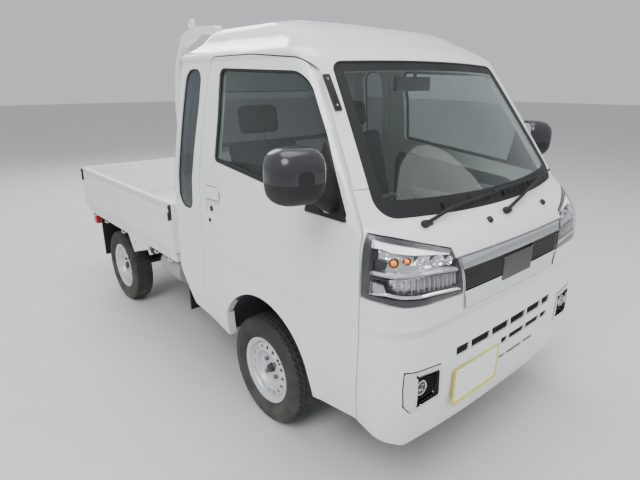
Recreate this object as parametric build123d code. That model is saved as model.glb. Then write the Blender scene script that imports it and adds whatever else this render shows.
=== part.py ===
from build123d import *
import os
from math import atan2, cos, radians, sin

# A cab-over light pickup truck with a long cab, right-hand drive, in millimetres.
# The front faces -Y, +Z is up, and the vehicle's right side is -X.
# The origin is on the ground, under the middle of the body.

# Overall sizes
LENGTH = 3395.0
WIDTH = 1475.0
HALF_WIDTH = WIDTH / 2
REAR_Y = LENGTH / 2
WHEELBASE = 1900.0
FRONT_AXLE_Y = -849.0
REAR_AXLE_Y = FRONT_AXLE_Y + WHEELBASE
FRONT_WHEEL_X = 652.5
REAR_WHEEL_X = 650.0
ROOF_Z = 1885.0
PANEL_GAP = 5.5
SEAM = 3.0

# Wheels, 145/80 R12
TYRE_RADIUS = 268.0
TYRE_WIDTH = 145.0
BEAD_RADIUS = 152.4
FLANGE_RADIUS = 167.0
WELL_RADIUS = 140.0
RIM_HALF_WIDTH = 58.0
HUB_FACE = 10.0
WHEEL_HOLES = 16
HOLE_CIRCLE = 117.0
HOLE_RADIUS = 9.5
NUT_CIRCLE = 50.0
NUTS = 4
KINGPIN_X = 625.0

# Cab shell: wall thickness, and the levels where its form changes
CAB_WALL = 40.0
VALLEY_LOW_Z = 752.0
VALLEY_TOP_Z = 786.0
BELT_Z = 1140.0
ROOF_EDGE_Z = 1700.0

# Plan sections of the cab, from the bumper's lower edge to the roof. A narrow valley runs round
# the front between the first two tables.
# Columns: height, half width, front at the middle, bow of the front, corner radius, back.
CHIN_SECTIONS = (
    (285.0, 712.0, -1668.0, 24.0, 95.0, 0.0),
    (400.0, 731.0, -1688.0, 24.0, 115.0, 0.0),
    (640.0, 733.5, -1693.0, 26.0, 150.0, 0.0),
    (VALLEY_LOW_Z, 731.0, -1684.0, 27.0, 164.0, 0.0),
)
FACE_SECTIONS = (
    (VALLEY_TOP_Z, 733.5, -1696.0, 28.0, 168.0, 0.0),
    (880.0, 733.5, -1696.5, 30.0, 175.0, 0.0),
    (1000.0, 733.5, -1684.0, 40.0, 170.0, -8.0),
    (1075.0, 734.0, -1646.0, 66.0, 150.0, -15.0),
    (BELT_Z, 734.0, -1590.5, 105.0, 85.0, -24.0),
)
GREENHOUSE_SECTIONS = (
    (BELT_Z, 734.0, -1590.5, 105.0, 85.0, -24.0),
    (1420.0, 700.0, -1391.0, 95.0, 70.0, -46.0),
    (ROOF_EDGE_Z, 652.0, -1186.0, 82.0, 70.0, -57.0),
)
ROOF_SECTIONS = (
    (ROOF_EDGE_Z, 652.0, -1186.0, 82.0, 70.0, -57.0),
    (1750.0, 630.0, -1112.0, 76.0, 105.0, -78.0),
    (1775.0, 588.0, -1062.0, 70.0, 110.0, -118.0),
    (1820.0, 550.0, -965.0, 60.0, 120.0, -165.0),
    (1862.0, 480.0, -820.0, 50.0, 130.0, -240.0),
    (ROOF_Z, 350.0, -680.0, 40.0, 110.0, -330.0),
)
REAR_CORNER = 60.0
LEAST_CORNER = 30.0

# Side wall in the front view, as (height, half width)
SIDE_PROFILE = (
    (200.0, 700.0), (400.0, 730.0), (640.0, 733.5), (BELT_Z, 734.0), (1420.0, 700.0), (1760.0, 640.0),
)

# Wheel arch in the side view: a round front and top, and an upright rear edge
ARCH_Y = -867.0
ARCH_Z = 306.0
ARCH_RADIUS = 360.0
ARCH_REAR_Y = -556.0
ARCH_DEPTH_X = 560.0

# Raised band round the arch, as (y, z), with its radii, its height and the slope of its edge
BLISTER_OUTLINE = (
    (-470.0, 200.0), (-470.0, 520.0), (-500.0, 640.0), (-560.0, 770.0), (-640.0, 822.0),
    (-756.0, 845.0), (-950.0, 848.0), (-1062.0, 800.0), (-1110.0, 730.0), (-1159.0, 623.0),
    (-1190.0, 500.0), (-1226.0, 330.0), (-1226.0, 200.0),
)
BLISTER_RADII = (1, 200, 200, 80, 120, 200, 90, 90, 200, 200, 200, 60, 1)
BLISTER_RISE = 3.5
BLISTER_FOOT = 20.0
BLISTER_SPREAD = 60.0

# Side view outlines as (y, z)
SILL_LINE = (
    (-1800.0, 200.0), (-1800.0, 285.0), (-1665.0, 285.0), (-1640.0, 322.0), (-1480.0, 372.0),
    (-1226.0, 330.0), (-1226.0, 200.0),
)
QUARTER_LINE = (
    (-560.0, 200.0), (-560.0, 345.0), (-373.0, 383.0), (-198.0, 404.0), (-7.0, 642.0),
    (100.0, 642.0), (100.0, 200.0),
)
DOOR_OUTLINE = (
    (-1492.0, 300.0), (-1494.0, 900.0), (-1489.0, 1118.0), (-1384.0, 1293.0), (-1124.0, 1694.0),
    (-760.0, 1722.0), (-402.0, 1722.0), (-380.0, 1493.0), (-354.0, 1153.0), (-333.0, 700.0),
    (-326.0, 550.0), (-370.0, 520.0), (-559.0, 476.0), (-559.0, 300.0),
)
DOOR_RADII = (0.1, 800, 60, 900, 180, 900, 62, 900, 900, 900, 30, 40, 0.1, 0.1)
DOOR_WINDOW = (
    (-1430.0, 1150.0), (-1274.0, 1428.0), (-1122.0, 1650.0), (-490.0, 1672.0), (-506.0, 1447.0),
    (-496.0, 1250.0),
)
DOOR_WINDOW_RADII = (15, 900, 170, 35, 900, 20)
DOOR_FLANGE = 14.0
DOOR_REBATE = 6.0
QUARTER_WINDOW = (
    (-322.0, 1672.0), (-322.0, 1500.0), (-255.0, 965.0), (-96.0, 965.0), (-128.0, 1300.0),
    (-158.0, 1672.0),
)
QUARTER_WINDOW_RADII = (60, 600, 55, 70, 900, 70)
ROOF_LINE = (
    (-1800.0, 1900.0), (-1800.0, 1690.0), (-1100.0, 1690.0), (-960.0, 1738.0),
    (-300.0, 1752.0), (-60.0, 1690.0), (100.0, 1690.0), (100.0, 1900.0),
)
FACE_LINE = (
    (-1800.0, 100.0), (-1800.0, 1262.0), (-1560.0, 1262.0), (-1400.0, 1250.0),
    (-1497.0, 1120.0), (-1494.0, 900.0), (-1492.0, 100.0),
)
PILLAR_SEAM = ((-1610.0, 1262.0), (-1560.0, 1262.0), (-1400.0, 1250.0))

# Door handle: the pocket and the lid over it, as y from, y to, z from, z to
HANDLE_POCKET = (-545.0, -408.0, 968.0, 1058.0)
HANDLE_LID = (-547.0, -406.0, 1062.0, 1127.0)
HANDLE_CORNER = 14.0
POCKET_DEPTH = 14.0
LID_RISE = 3.0

# Windscreen, in its own raked plane: half widths, and heights along the glass
SCREEN_FOOT = (-1590.5, 1138.0)
SCREEN_HEAD = (-1187.5, 1698.0)
SCREEN_LOW = (654.0, 69.0)
SCREEN_HIGH = (554.0, 709.0)
SCREEN_RUN = 688.0
SCREEN_LOW_CORNER = 90.0
SCREEN_HIGH_CORNER = 50.0
SCREEN_SEAT = 32.0
GLASS_DEPTH = 11.0
GLASS_SINK = 3.0

# Depths under the skin of the side glass and the rear glass, outer face and inner face
DOOR_PANE = (12.0, 17.0)
QUARTER_PANE = (10.0, 16.0)
REAR_PANE = (14.0, 20.0)

# Rear window: half width, lower and upper edge, corner radius
REAR_WINDOW = (500.0, 1150.0, 1560.0)
REAR_WINDOW_CORNER = 60.0

# Front face, in the front view. The right headlamp's outline runs on into the grille.
LAMP_OUTLINE = (
    (-900.0, 1130.0), (-735.0, 1127.0), (-640.0, 1104.0), (-545.0, 1076.0), (-424.0, 1041.0),
    (-418.0, 1004.0), (-370.0, 990.0), (-360.0, 864.0), (-590.0, 876.0), (-670.0, 877.0),
    (-737.0, 893.0), (-900.0, 893.0),
)
HOOD_LOW_Z = 940.0
GRILLE_TOP = (410.0, 1006.0)
GRILLE_LOW = (368.0, 794.0)
GRILLE_BAND = ((-388.0, 960.0), (388.0, 960.0), (371.0, 869.0), (-371.0, 869.0))
GRILLE_BLOCK = (118.0, 843.0, 946.0)
FOG_OUTLINE = (
    (-661.0, 626.0), (-481.0, 606.0), (-474.0, 463.0), (-640.0, 459.0), (-667.0, 492.0),
    (-668.0, 560.0),
)
FOG_POCKET = ((-612.0, 600.0), (-492.0, 588.0), (-488.0, 478.0), (-612.0, 474.0))
FOG_DEPTH = 22.0
SLOT_PITCH = 148.0
SLOT_RIB = 13.0
SLOT_ROWS = (
    # x from, x to, z from, z to
    (-387.0, 387.0, 598.0, 638.0),
    (-60.0, 370.0, 531.0, 561.0),
    (-60.0, 245.0, 457.0, 473.0),
)

# Wipers, the driver's and the passenger's: pivot, elbow, then start, middle and end of the blade
WIPERS = (
    (
        (-486.0, -1572.0, 1127.0), (-330.0, -1580.0, 1166.0),
        (-60.0, -1584.0, 1190.0), (170.0, -1577.0, 1190.0), (399.0, -1550.0, 1188.0),
    ),
    (
        (-20.0, -1630.0, 1110.0), (152.0, -1608.0, 1150.0),
        (236.0, -1572.0, 1190.0), (430.0, -1545.0, 1190.0), (613.0, -1500.0, 1190.0),
    ),
)
WIPER_ARM = 7.0
WIPER_BLADE = 5.0
WIPER_CAP = 15.0
ARM_LIFT = 7.0

# Mirrors: the right one is out, and the left one is folded back behind its pillar
MIRROR_CENTRE = (-890.0, -1335.0, 1315.0)
MIRROR_SIZE = (185.0, 100.0, 188.0)
MIRROR_CORNER = 42.0
MIRROR_TURN = -12.0
MIRROR_PIVOT = (-790.0, -1345.0)
MIRROR_FOLD = -36.0
SAIL_OUTLINE = ((-1424.0, 1146.0), (-1280.0, 1414.0), (-1262.0, 1406.0), (-1199.0, 1146.0))
SAIL_RADII = (6, 8, 8, 8)
SAIL_THICK = 9.0
ARM_RADIUS = 20.0

# Inside the cab
FLOOR_Z = 443.0
DECK_Z = 684.0
RISER_Y = -1212.0
FLOOR_THICK = 18.0
FLOOR_HALF = 690.0
WHEELHOUSE_X = 408.0
WHEELHOUSE_WALL = 12.0
WHEELHOUSE_LOW_Z = 345.0
DOOR_REAR_Y = -320.0
DOOR_CLEAR = 6.0
SEAT_X = 345.0
SEAT_WIDTH = 470.0
REST_WIDTH = 260.0
SEAT_OUTLINE = (
    (-1010.0, 693.0), (-1030.0, 800.0), (-1000.0, 832.0), (-560.0, 800.0),
    (-400.0, 1340.0), (-300.0, 1350.0), (-440.0, 790.0), (-470.0, 693.0),
)
SEAT_RADII = (10, 25, 30, 40, 40, 40, 60, 10)
REST_OUTLINE = ((-395.0, 1330.0), (-360.0, 1500.0), (-265.0, 1510.0), (-300.0, 1330.0))
REST_RADII = (10, 40, 40, 10)
DASH_HALF = 685.0
DASH_OUTLINE = (
    (-1535.0, 800.0), (-1550.0, 1085.0), (-1420.0, 1110.0), (-1290.0, 1060.0),
    (-1270.0, 900.0), (-1330.0, 760.0),
)
DASH_RADII = (20, 60, 80, 60, 60, 30)
COWL_OUTLINE = ((-1480.0, 1060.0), (-1440.0, 1150.0), (-1330.0, 1145.0), (-1290.0, 1040.0))
COWL_RADII = (30, 40, 40, 20)
COWL_X = (-520.0, -180.0)
STEERING_HUB = (-345.0, -1120.0, 1035.0)
COLUMN_TILT = 50.0
STEERING_RADIUS = 180.0
STEERING_GRIP = 14.0
SHAFT_RADIUS = 11.0
SHAFT_LENGTH = 240.0
COLUMN_RADIUS = 30.0
COLUMN_FROM = -50.0
COLUMN_TO = -610.0

# Chassis
RAIL_X = 340.0
RAIL_WIDTH = 55.0
RAIL_HEIGHT = 90.0
FRONT_RAIL_Z = 375.0
REAR_RAIL_Z = 500.0
RAIL_PATH = ((-1600.0, FRONT_RAIL_Z), (-330.0, FRONT_RAIL_Z), (-90.0, REAR_RAIL_Z), (1640.0, REAR_RAIL_Z))
RAIL_TIES = (
    # y, z
    (-1560.0, FRONT_RAIL_Z),
    (-1150.0, FRONT_RAIL_Z),
    (420.0, REAR_RAIL_Z),
    (1320.0, REAR_RAIL_Z),
    (1600.0, REAR_RAIL_Z),
)
TIE_HALF = 30.0
CROSSBEAMS_Y = (90.0, 480.0, 860.0, 1240.0, 1600.0)

# Load bed
BED_FLOOR_Z = 660.0
BED_FLOOR_THICK = 22.0
BED_FRONT_Y = 20.0
BED_REAR_Y = 1662.0
BED_HALF = 704.0
BEAM_TOP_Z = 640.0
BEAM_LOW_Z = 585.0
GATE_TOP_Z = 947.0
GATE_LOW_Z = 645.0
GATE_THICK = 30.0
GATE_END = 28.0
GATE_Y = (12.0, 1688.0)
HEADBOARD_Y = 6.0

# A gate's outer face, as (depth under its skin, height) from the lower edge to the top rail
GATE_PROFILE = (
    (0.0, GATE_LOW_Z), (0.0, 688.0), (4.0, 700.0), (4.0, 866.0), (15.0, 893.0), (15.0, 919.0),
    (0.0, 926.0), (0.0, GATE_TOP_Z),
)

# Guard behind the rear window: the side plates' outline as (y, z), and the bars between them
GUARD_OUTLINE = (
    (8.0, 948.0), (45.0, 948.0), (45.0, 1500.0), (6.0, 1696.0), (-96.0, 1838.0),
    (-222.0, 1870.0), (-435.0, 1858.0), (-450.0, 1838.0), (-365.0, 1828.0), (-235.0, 1826.0),
    (-160.0, 1800.0), (-84.0, 1778.0), (-36.0, 1692.0), (8.0, 1480.0),
)
GUARD_RADII = (2, 2, 300, 180, 60, 60, 6, 6, 60, 40, 40, 30, 120, 200)
GUARD_X = (606.0, 640.0)
GUARD_BARS = (
    # y, z, half height
    (26.0, 1000.0, 16.0),
    (26.0, 1250.0, 14.0),
    (-8.0, 1600.0, 20.0),
    (-20.0, 1690.0, 18.0),
)
GUARD_BAR_HALF = 11.0
LOOP_CENTRE = (-176.0, 1884.0)
LOOP_OUTER = 25.0
LOOP_INNER = 15.0
LOOP_X = (614.0, 626.0)
LOOP_FOOT = (12.0, 1846.0)

# Bed fittings and what hangs below, each box as x0, x1, y0, y1, z0, z1
CROSSBEAM_HALF_X = 700.0
CROSSBEAM_HALF_Y = 30.0
FRAME_BEAM = (20.0, 25.0, 520.0)
BED_SILL = (-729.0, -672.0, 590.0, 638.0)
HEADBOARD_HALF = 700.0
HEADBOARD_THICK = 13.0
HEADBOARD_DROP = 20.0
HEADBOARD_GROOVE = (640.0, 8.0, 18.0)
HEADBOARD_GROOVES_Z = (740.0, 830.0)
REAR_BEAM = (-705.0, 705.0, 1662.5, 1690.0, 560.0, 636.0)
PLATE_CARRIER = (-170.0, 170.0, 1668.0, 1680.0, 455.0, 560.0)
REAR_BRACKET = (-300.0, 300.0, 1641.0, 1662.5, 560.0, 585.0)
TAIL_LAMP = (-695.0, -505.0, 1640.0, 1688.0, 470.0, 559.0)
TAIL_LAMP_CORNER = 10.0
GUSSET_OUTLINE = ((351.0, 589.0), (819.0, 589.0), (729.0, 468.0))
GUSSET_RADII = (20, 6, 10)
GUSSET_X = (-724.0, -712.0)
GUSSET_HOLE = (690.0, 545.0, 16.0)
MUD_FLAP = (-722.0, -560.0, 1398.0, 1408.0, 268.0, 589.0)
FUEL_TANK = (385.0, 660.0, 60.0, 440.0, 330.0, 584.0)
FUEL_TANK_CORNER = 45.0
CANISTER = (-700.0, -520.0, 60.0, 330.0, 425.0, 560.0)
CANISTER_CORNER = 50.0
CANISTER_BRACKET = (-640.0, -560.0, 64.0, 290.0, 555.0, 585.0)
SHIELD_PLATE = (-690.0, -400.0, -40.0, -28.0, 290.0, 500.0)
SHIELD_EAR = (-420.0, -372.0, -40.0, -28.0, 400.0, 520.0)

# Drive and suspension
ENGINE_BLOCK = (-250.0, 250.0, -980.0, -340.0, 240.0, 640.0)
GEARBOX = (-120.0, 120.0, -345.0, 150.0, 290.0, 470.0)
EXHAUST_PLACE = (200.0, 370.0)
EXHAUST_LENGTHS = (
    # y from, y to, radius
    (150.0, 620.0, 22.0),
    (620.0, 980.0, 75.0),
    (980.0, 1560.0, 20.0),
)
PROPSHAFT_START = (0.0, 158.0, 380.0)
PROPSHAFT_END = (0.0, REAR_AXLE_Y - 96.0, 285.0)
PROPSHAFT_RADIUS = 30.0
# Half of the rear axle's outline as (radius, x): drum, tube, then the differential's bulge
AXLE_OUTLINE = (
    (0.0, -660.0), (105.0, -660.0), (105.0, -600.0), (32.0, -590.0), (32.0, -130.0),
    (95.0, -60.0), (95.0, 60.0), (32.0, 130.0), (32.0, 590.0), (105.0, 600.0), (105.0, 660.0),
    (0.0, 660.0),
)
AXLE_TUBE_RADIUS = 32.0
SPRING_X = 430.0
SPRING_HALF = 30.0
SPRING_THICK = 34.0
SPRING_ENDS_Y = (480.0, 1580.0)
SPRING_END_Z = 400.0
SPRING_LOW_Z = 325.0
SPRING_CLAMP = (36.0, 55.0, 299.0, 346.0)
SPRING_HANGER = (22.0, 390.0, 520.0)
AXLE_BEAM = (300.0, 56.0, 54.0, 170.0, 235.0)
BEAM_POST = (-330.0, -270.0, 170.0, 329.0)
LOWER_ARM_Z = (185.0, 160.0)
LOWER_ARM_RADIUS = 20.0
STRUT = ((-520.0, 392.0), (-500.0, 650.0), 21.0)
STRUT_SPRING = ((-506.0, 560.0), (-500.0, 650.0), 48.0)
STRUT_EYE = (8.0, -500.0, 20.0, 376.0, 396.0)
KNUCKLE_POST = (182.0, 375.5, 17.0)
KNUCKLE_STUB = (15.0, -660.0, 34.0)
BRAKE_DISC = (-636.0, -650.0, 96.0)


# Shapes that several pieces use


def side_prism(outline, x_from, x_to, radii=None):
    """A prism along X whose side view is the outline of (y, z) points."""
    if radii is None:
        wire = Polyline(*outline, close=True)
    else:
        wire = FilletPolyline(*outline, radius=list(radii), close=True)
    face = Plane.YZ * make_face(wire)
    return Pos(x_from, 0, 0) * extrude(face, x_to - x_from)


def front_prism(outline, y_from, y_to):
    """A prism along Y whose front view is the outline of (x, z) points."""
    face = Plane.XZ * make_face(Polyline(*outline, close=True))
    return Pos(0, y_to, 0) * extrude(face, y_to - y_from)


def box(x0, x1, y0, y1, z0, z1):
    """A box between two corners."""
    return Pos((x0 + x1) / 2, (y0 + y1) / 2, (z0 + z1) / 2) * Box(x1 - x0, y1 - y0, z1 - z0)


def rod(start, end, radius):
    """A round bar from one point to another."""
    a, b = Vector(*start), Vector(*end)
    return extrude(Plane(origin=a, z_dir=b - a) * Circle(radius), (b - a).length)


def mirrored(shape):
    """The shape on the other side of the vehicle."""
    return mirror(shape, about=Plane.YZ)


def pair(shape):
    """The shape and its mirror image, as solids of one piece."""
    return Compound(children=[*shape.solids(), *mirrored(shape).solids()])


def gather(shapes):
    """Several separate shapes as the solids of one piece."""
    return Compound(children=[solid for shape in shapes for solid in shape.solids()])


def grown(outline, amount):
    """The outline moved outward by an amount, corner by corner."""
    if not amount:
        return outline
    count = len(outline)
    area = sum(
        outline[i][0] * outline[(i + 1) % count][1] - outline[(i + 1) % count][0] * outline[i][1]
        for i in range(count)
    )
    turn = 1.0 if area > 0 else -1.0
    moved = []
    for i in range(count):
        before, here, after = outline[i - 1], outline[i], outline[(i + 1) % count]
        a = (Vector(*here) - Vector(*before)).normalized()
        b = (Vector(*after) - Vector(*here)).normalized()
        normal_a = Vector(a.Y, -a.X) * turn
        normal_b = Vector(b.Y, -b.X) * turn
        bisector = normal_a + normal_b
        shift = bisector * (2 * amount / bisector.length**2)
        moved.append((here[0] + shift.X, here[1] + shift.Y))
    return moved


def save(name, shape):
    """Write one node, made of the shape's solids."""
    solids = shape.solids()
    whole = solids[0] if len(solids) == 1 else Compound(children=list(solids))
    export_step(whole, f"parts/{name}.step")


# Cab forms, and those made so far by their inset
FORMS = {}


def plan_section(z, half_width, nose, bow, corner, back, inset):
    """One plan section of the cab, shrunk by the inset on all sides."""
    w = half_width - inset
    front, rear = nose + inset, back - inset
    side_y = front + bow
    arc = ThreePointArc((-w, side_y), (0, front), (w, side_y))
    sides = Polyline((w, side_y), (w, rear), (-w, rear), (-w, side_y))
    face = make_face(Curve() + [arc, sides])
    front_pair = face.vertices().group_by(Axis.Y)[0]
    face = fillet(front_pair, max(corner - inset, LEAST_CORNER))
    rear_pair = face.vertices().group_by(Axis.Y)[-1]
    face = fillet(rear_pair, REAR_CORNER - inset / 2)
    return Pos(0, 0, z) * face


def cab_form(inset):
    """The cab's closed outer form, shrunk by the inset. Each form is made once."""
    if inset in FORMS:
        return FORMS[inset]
    drop = inset / (ROOF_Z - ROOF_EDGE_Z)
    chin = [plan_section(*row, inset) for row in CHIN_SECTIONS]
    front = [plan_section(*row, inset) for row in FACE_SECTIONS]
    middle = [plan_section(*row, inset) for row in GREENHOUSE_SECTIONS]
    top = [
        plan_section(row[0] - (row[0] - ROOF_EDGE_Z) * drop, *row[1:], inset)
        for row in ROOF_SECTIONS
    ]
    valley = loft([chin[-1], front[0]], ruled=True)
    FORMS[inset] = loft(chin) + valley + loft(front) + loft(middle) + loft(top)
    return FORMS[inset]


def pane(outline, depths):
    """The part of an outline's prism that lies between two depths under the skin."""
    outer, inner = depths
    return (outline & cab_form(outer)) - cab_form(inner)


def arch_blister():
    """The raised band round the right wheel arch, before the arch is cut."""
    crest_x = -HALF_WIDTH + 0.5
    levels = ((crest_x, 0.0), (crest_x + BLISTER_FOOT, BLISTER_SPREAD))
    faces = []
    for x, spread in levels:
        wire = FilletPolyline(*grown(BLISTER_OUTLINE, spread), radius=list(BLISTER_RADII), close=True)
        faces.append(Pos(x, 0, 0) * (Plane.YZ * make_face(wire)))
    return loft(faces, ruled=True)


def cab_skin():
    """The cab's outer form with the raised bands round the wheel arches."""
    blister = arch_blister() & cab_form(-BLISTER_RISE)
    return cab_form(0) + blister + mirrored(blister)


def screen_plane():
    """The windscreen's plane, with its origin at the foot of the glass."""
    (y0, z0), (y1, z1) = SCREEN_FOOT, SCREEN_HEAD
    rake = atan2(y1 - y0, z1 - z0)
    return Plane(origin=(0, y0, z0), x_dir=(1, 0, 0), z_dir=(0, -cos(rake), sin(rake)))


def screen_prism(grow):
    """A prism through the windscreen, its outline grown by a margin."""
    (low_x, low_v), (high_x, high_v) = SCREEN_LOW, SCREEN_HIGH
    low_arc = ThreePointArc((-low_x, low_v), (0, 0), (low_x, low_v))
    high_arc = ThreePointArc((high_x, high_v), (0, SCREEN_RUN), (-high_x, high_v))
    sides = [Line((low_x, low_v), (high_x, high_v)), Line((-high_x, high_v), (-low_x, low_v))]
    face = make_face(Curve() + [low_arc, sides[0], high_arc, sides[1]])
    face = fillet(face.vertices().group_by(Axis.Y)[0], SCREEN_LOW_CORNER)
    face = fillet(face.vertices().group_by(Axis.Y)[-1], SCREEN_HIGH_CORNER)
    if grow:
        face = offset(face, grow)
    return extrude(screen_plane() * face, 150, both=True)


def side_slab(depth):
    """Everything on the right side, outboard of a wall of this depth."""
    wall = [(-900.0, 200.0), (-900.0, 1760.0)]
    wall += [(depth - half_width, z) for z, half_width in reversed(SIDE_PROFILE)]
    return front_prism(wall, -2000, 2000)


def door_prism(grow, depth):
    """The door's side outline on the right side, down to a depth under the skin."""
    return side_prism(grown(DOOR_OUTLINE, grow), -900, -400, DOOR_RADII) & side_slab(depth)


def door_zone():
    """The door's own shape: a thin skin flange and a smaller box inside it."""
    flange = door_prism(-PANEL_GAP / 2, DOOR_FLANGE)
    return flange + door_prism(-PANEL_GAP / 2 - DOOR_REBATE, CAB_WALL + 2)


def arch_prism(x_from, x_to):
    """The wheel arch's opening on the right side, open below."""
    round_part = Plane.YZ * (Pos(ARCH_Y, ARCH_Z) * Circle(ARCH_RADIUS))
    disc = Pos(x_from, 0, 0) * extrude(round_part, x_to - x_from)
    clip = box(x_from, x_to, -1400, ARCH_REAR_Y, 100, 800)
    below = box(x_from, x_to, ARCH_Y - ARCH_RADIUS + 1, ARCH_REAR_Y, 100, ARCH_Z)
    return (disc & clip) + below


def lamp_prism(grow):
    """The right headlamp's outline in the front view, as a prism along Y."""
    return front_prism(grown(LAMP_OUTLINE, grow), -1800, -1300)


def grille_prism(grow):
    """The chrome-trimmed grille's outline in the front view, as a prism along Y."""
    (top_x, top_z), (low_x, low_z) = GRILLE_TOP, GRILLE_LOW
    outline = ((-top_x, top_z), (top_x, top_z), (low_x, low_z), (-low_x, low_z))
    return front_prism(grown(outline, grow), -1800, -1400)


def front_slots():
    """The bumper's three rows of air slots, with the ribs left between them."""
    cuts = []
    for x0, x1, z0, z1 in SLOT_ROWS:
        slot = box(x0, x1, -1750, -1500, z0, z1)
        for rib in range(-2, 3):
            x = rib * SLOT_PITCH
            slot -= box(x - SLOT_RIB / 2, x + SLOT_RIB / 2, -1800, -1400, z0 - 1, z1 + 1)
        cuts.append(slot)
    return gather(cuts)


def handle_prism(place, x_from, x_to):
    """A round-cornered prism for one part of the door handle."""
    y0, y1, z0, z1 = place
    outline = ((y0, z0), (y1, z0), (y1, z1), (y0, z1))
    return side_prism(outline, x_from, x_to, [HANDLE_CORNER] * 4)


# Cab pieces


def build_front(front):
    """Cut the cab's front into its panel, bumper, lamps, grille and fog lamp pods."""
    lamp_cut, grille_cut = lamp_prism(0), grille_prism(0)
    fog_cut = front_prism(FOG_OUTLINE, -1800, -1500)
    lamps = (front & lamp_cut) - grille_cut
    grille = front & grille_cut
    fogs = front & fog_cut
    for cut in (lamp_cut, fog_cut):
        front = front - cut - mirrored(cut)
    front -= grille_cut
    for seam in (lamp_prism(SEAM), front_prism(grown(FOG_OUTLINE, SEAM), -1800, -1500)):
        groove = seam - cab_form(GLASS_DEPTH)
        front = front - groove - mirrored(groove)
    front -= grille_prism(SEAM) - cab_form(GLASS_DEPTH)

    half, low_z, high_z = GRILLE_BLOCK
    pocket = front_prism(GRILLE_BAND, -1800, -1500) - box(-half, half, -1800, -1500, low_z, high_z)
    grille -= pocket - cab_form(POCKET_DEPTH)
    fogs -= front_prism(FOG_POCKET, -1800, -1500) - cab_form(FOG_DEPTH)

    low_zone = box(-900, 900, -1800, -1300, 100, HOOD_LOW_Z)
    return {
        "front_panel": front - low_zone,
        "front_bumper": (front & low_zone) - front_slots(),
        "headlamps": pair(lamps),
        "grille": grille,
        "fog_lamps": pair(fogs),
    }


def build_door(wall):
    """The right door: skin flange, inner box, window hole and handle."""
    door = wall & door_zone()
    door -= arch_prism(-900, -ARCH_DEPTH_X)
    door -= side_prism(SILL_LINE, -900, 900)
    door -= side_prism(DOOR_WINDOW, -900, -400, DOOR_WINDOW_RADII)
    door -= handle_prism(HANDLE_POCKET, -900, -500) - cab_form(POCKET_DEPTH)
    return door + (handle_prism(HANDLE_LID, -760, -725) & cab_form(-LID_RISE))


def build_cab():
    """All pieces cut from the cab's shell, by name."""
    wall = cab_skin() - cab_form(CAB_WALL)
    shell = wall - side_prism(SILL_LINE, -900, 900) - side_prism(QUARTER_LINE, -900, 900)
    right_arch = arch_prism(-900, -ARCH_DEPTH_X)
    shell = shell - right_arch - mirrored(right_arch)
    shell = shell - screen_prism(-SCREEN_SEAT) - (screen_prism(1) - cab_form(GLASS_DEPTH))
    door_cut = door_prism(PANEL_GAP / 2, CAB_WALL + 2 + PANEL_GAP)
    shell = shell - door_cut - mirrored(door_cut)

    face_zone = side_prism(FACE_LINE, -900, 900)
    body = shell - face_zone
    (y0, z0), (y1, z1), (y2, z2) = PILLAR_SEAM
    seam = ((y0, z0), (y1, z1), (y2, z2), (y2, z2 + SEAM), (y1, z1 + SEAM), (y0, z0 + SEAM))
    body -= side_prism(seam, -900, 900) - cab_form(GLASS_DEPTH)

    quarter_hole = side_prism(QUARTER_WINDOW, -900, -400, QUARTER_WINDOW_RADII)
    quarter_glass = pane(quarter_hole, QUARTER_PANE)
    half_width, low_z, high_z = REAR_WINDOW
    rear_face = Plane.XZ * (
        Pos(0, (low_z + high_z) / 2)
        * RectangleRounded(2 * half_width, high_z - low_z, REAR_WINDOW_CORNER)
    )
    rear_hole = extrude(rear_face, 400, both=True) & box(-700, 700, -400, 100, 1000, 1700)
    rear_glass = pane(rear_hole, REAR_PANE)
    body = body - quarter_hole - mirrored(quarter_hole) - rear_hole

    roof_zone = side_prism(ROOF_LINE, -900, 900)
    back_zone = box(-560, 560, -420, 100, 640, 1800)
    door_hole = side_prism(DOOR_WINDOW, -900, -400, DOOR_WINDOW_RADII)
    door_glass = pane(door_hole, DOOR_PANE) & side_slab(CAB_WALL)
    door = build_door(wall)
    nodes = {
        "cab_sides": body - roof_zone - back_zone,
        "roof": body & roof_zone,
        "cab_back": (body - roof_zone) & back_zone,
        "windscreen": pane(screen_prism(0), (GLASS_SINK, GLASS_DEPTH)),
        "fixed_glass": gather([pair(quarter_glass), rear_glass]),
        "door_right": door,
        "door_left": mirrored(door),
        "door_glass_right": door_glass,
        "door_glass_left": mirrored(door_glass),
    }
    nodes.update(build_front(shell & face_zone))
    return nodes


# Cab floor, seats and controls


def build_cab_floor():
    """Toe board, footwell, seat riser and rear deck, with the wheel houses under it."""
    path = Polyline(
        (-1640, 700), (-1590, FLOOR_Z), (RISER_Y, FLOOR_Z), (RISER_Y, DECK_Z), (-42, DECK_Z)
    )
    sheet = Plane.YZ * trace(path, FLOOR_THICK)
    floor = Pos(-FLOOR_HALF, 0, 0) * extrude(sheet, 2 * FLOOR_HALF)
    width = FLOOR_HALF - WHEELHOUSE_X
    outer = Plane.YZ * (Pos(ARCH_Y, ARCH_Z) * Circle(ARCH_RADIUS + WHEELHOUSE_WALL))
    inner = Plane.YZ * (Pos(ARCH_Y, ARCH_Z) * Circle(ARCH_RADIUS))
    arch = Pos(WHEELHOUSE_X, 0, 0) * extrude(outer, width)
    well = Pos(WHEELHOUSE_X + WHEELHOUSE_WALL, 0, 0) * extrude(inner, width)
    arch = (arch - well) & box(0, 900, -1400, 0, WHEELHOUSE_LOW_Z, DECK_Z)
    floor = floor + arch + mirrored(arch) - well - mirrored(well)
    door_clear = cab_form(CAB_WALL + DOOR_CLEAR) & box(-900, 900, -1700, DOOR_REAR_Y, 300, 900)
    wall_fit = cab_form(CAB_WALL) & box(-900, 900, DOOR_REAR_Y, 0, 300, 900)
    return floor & (door_clear + wall_fit)


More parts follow.
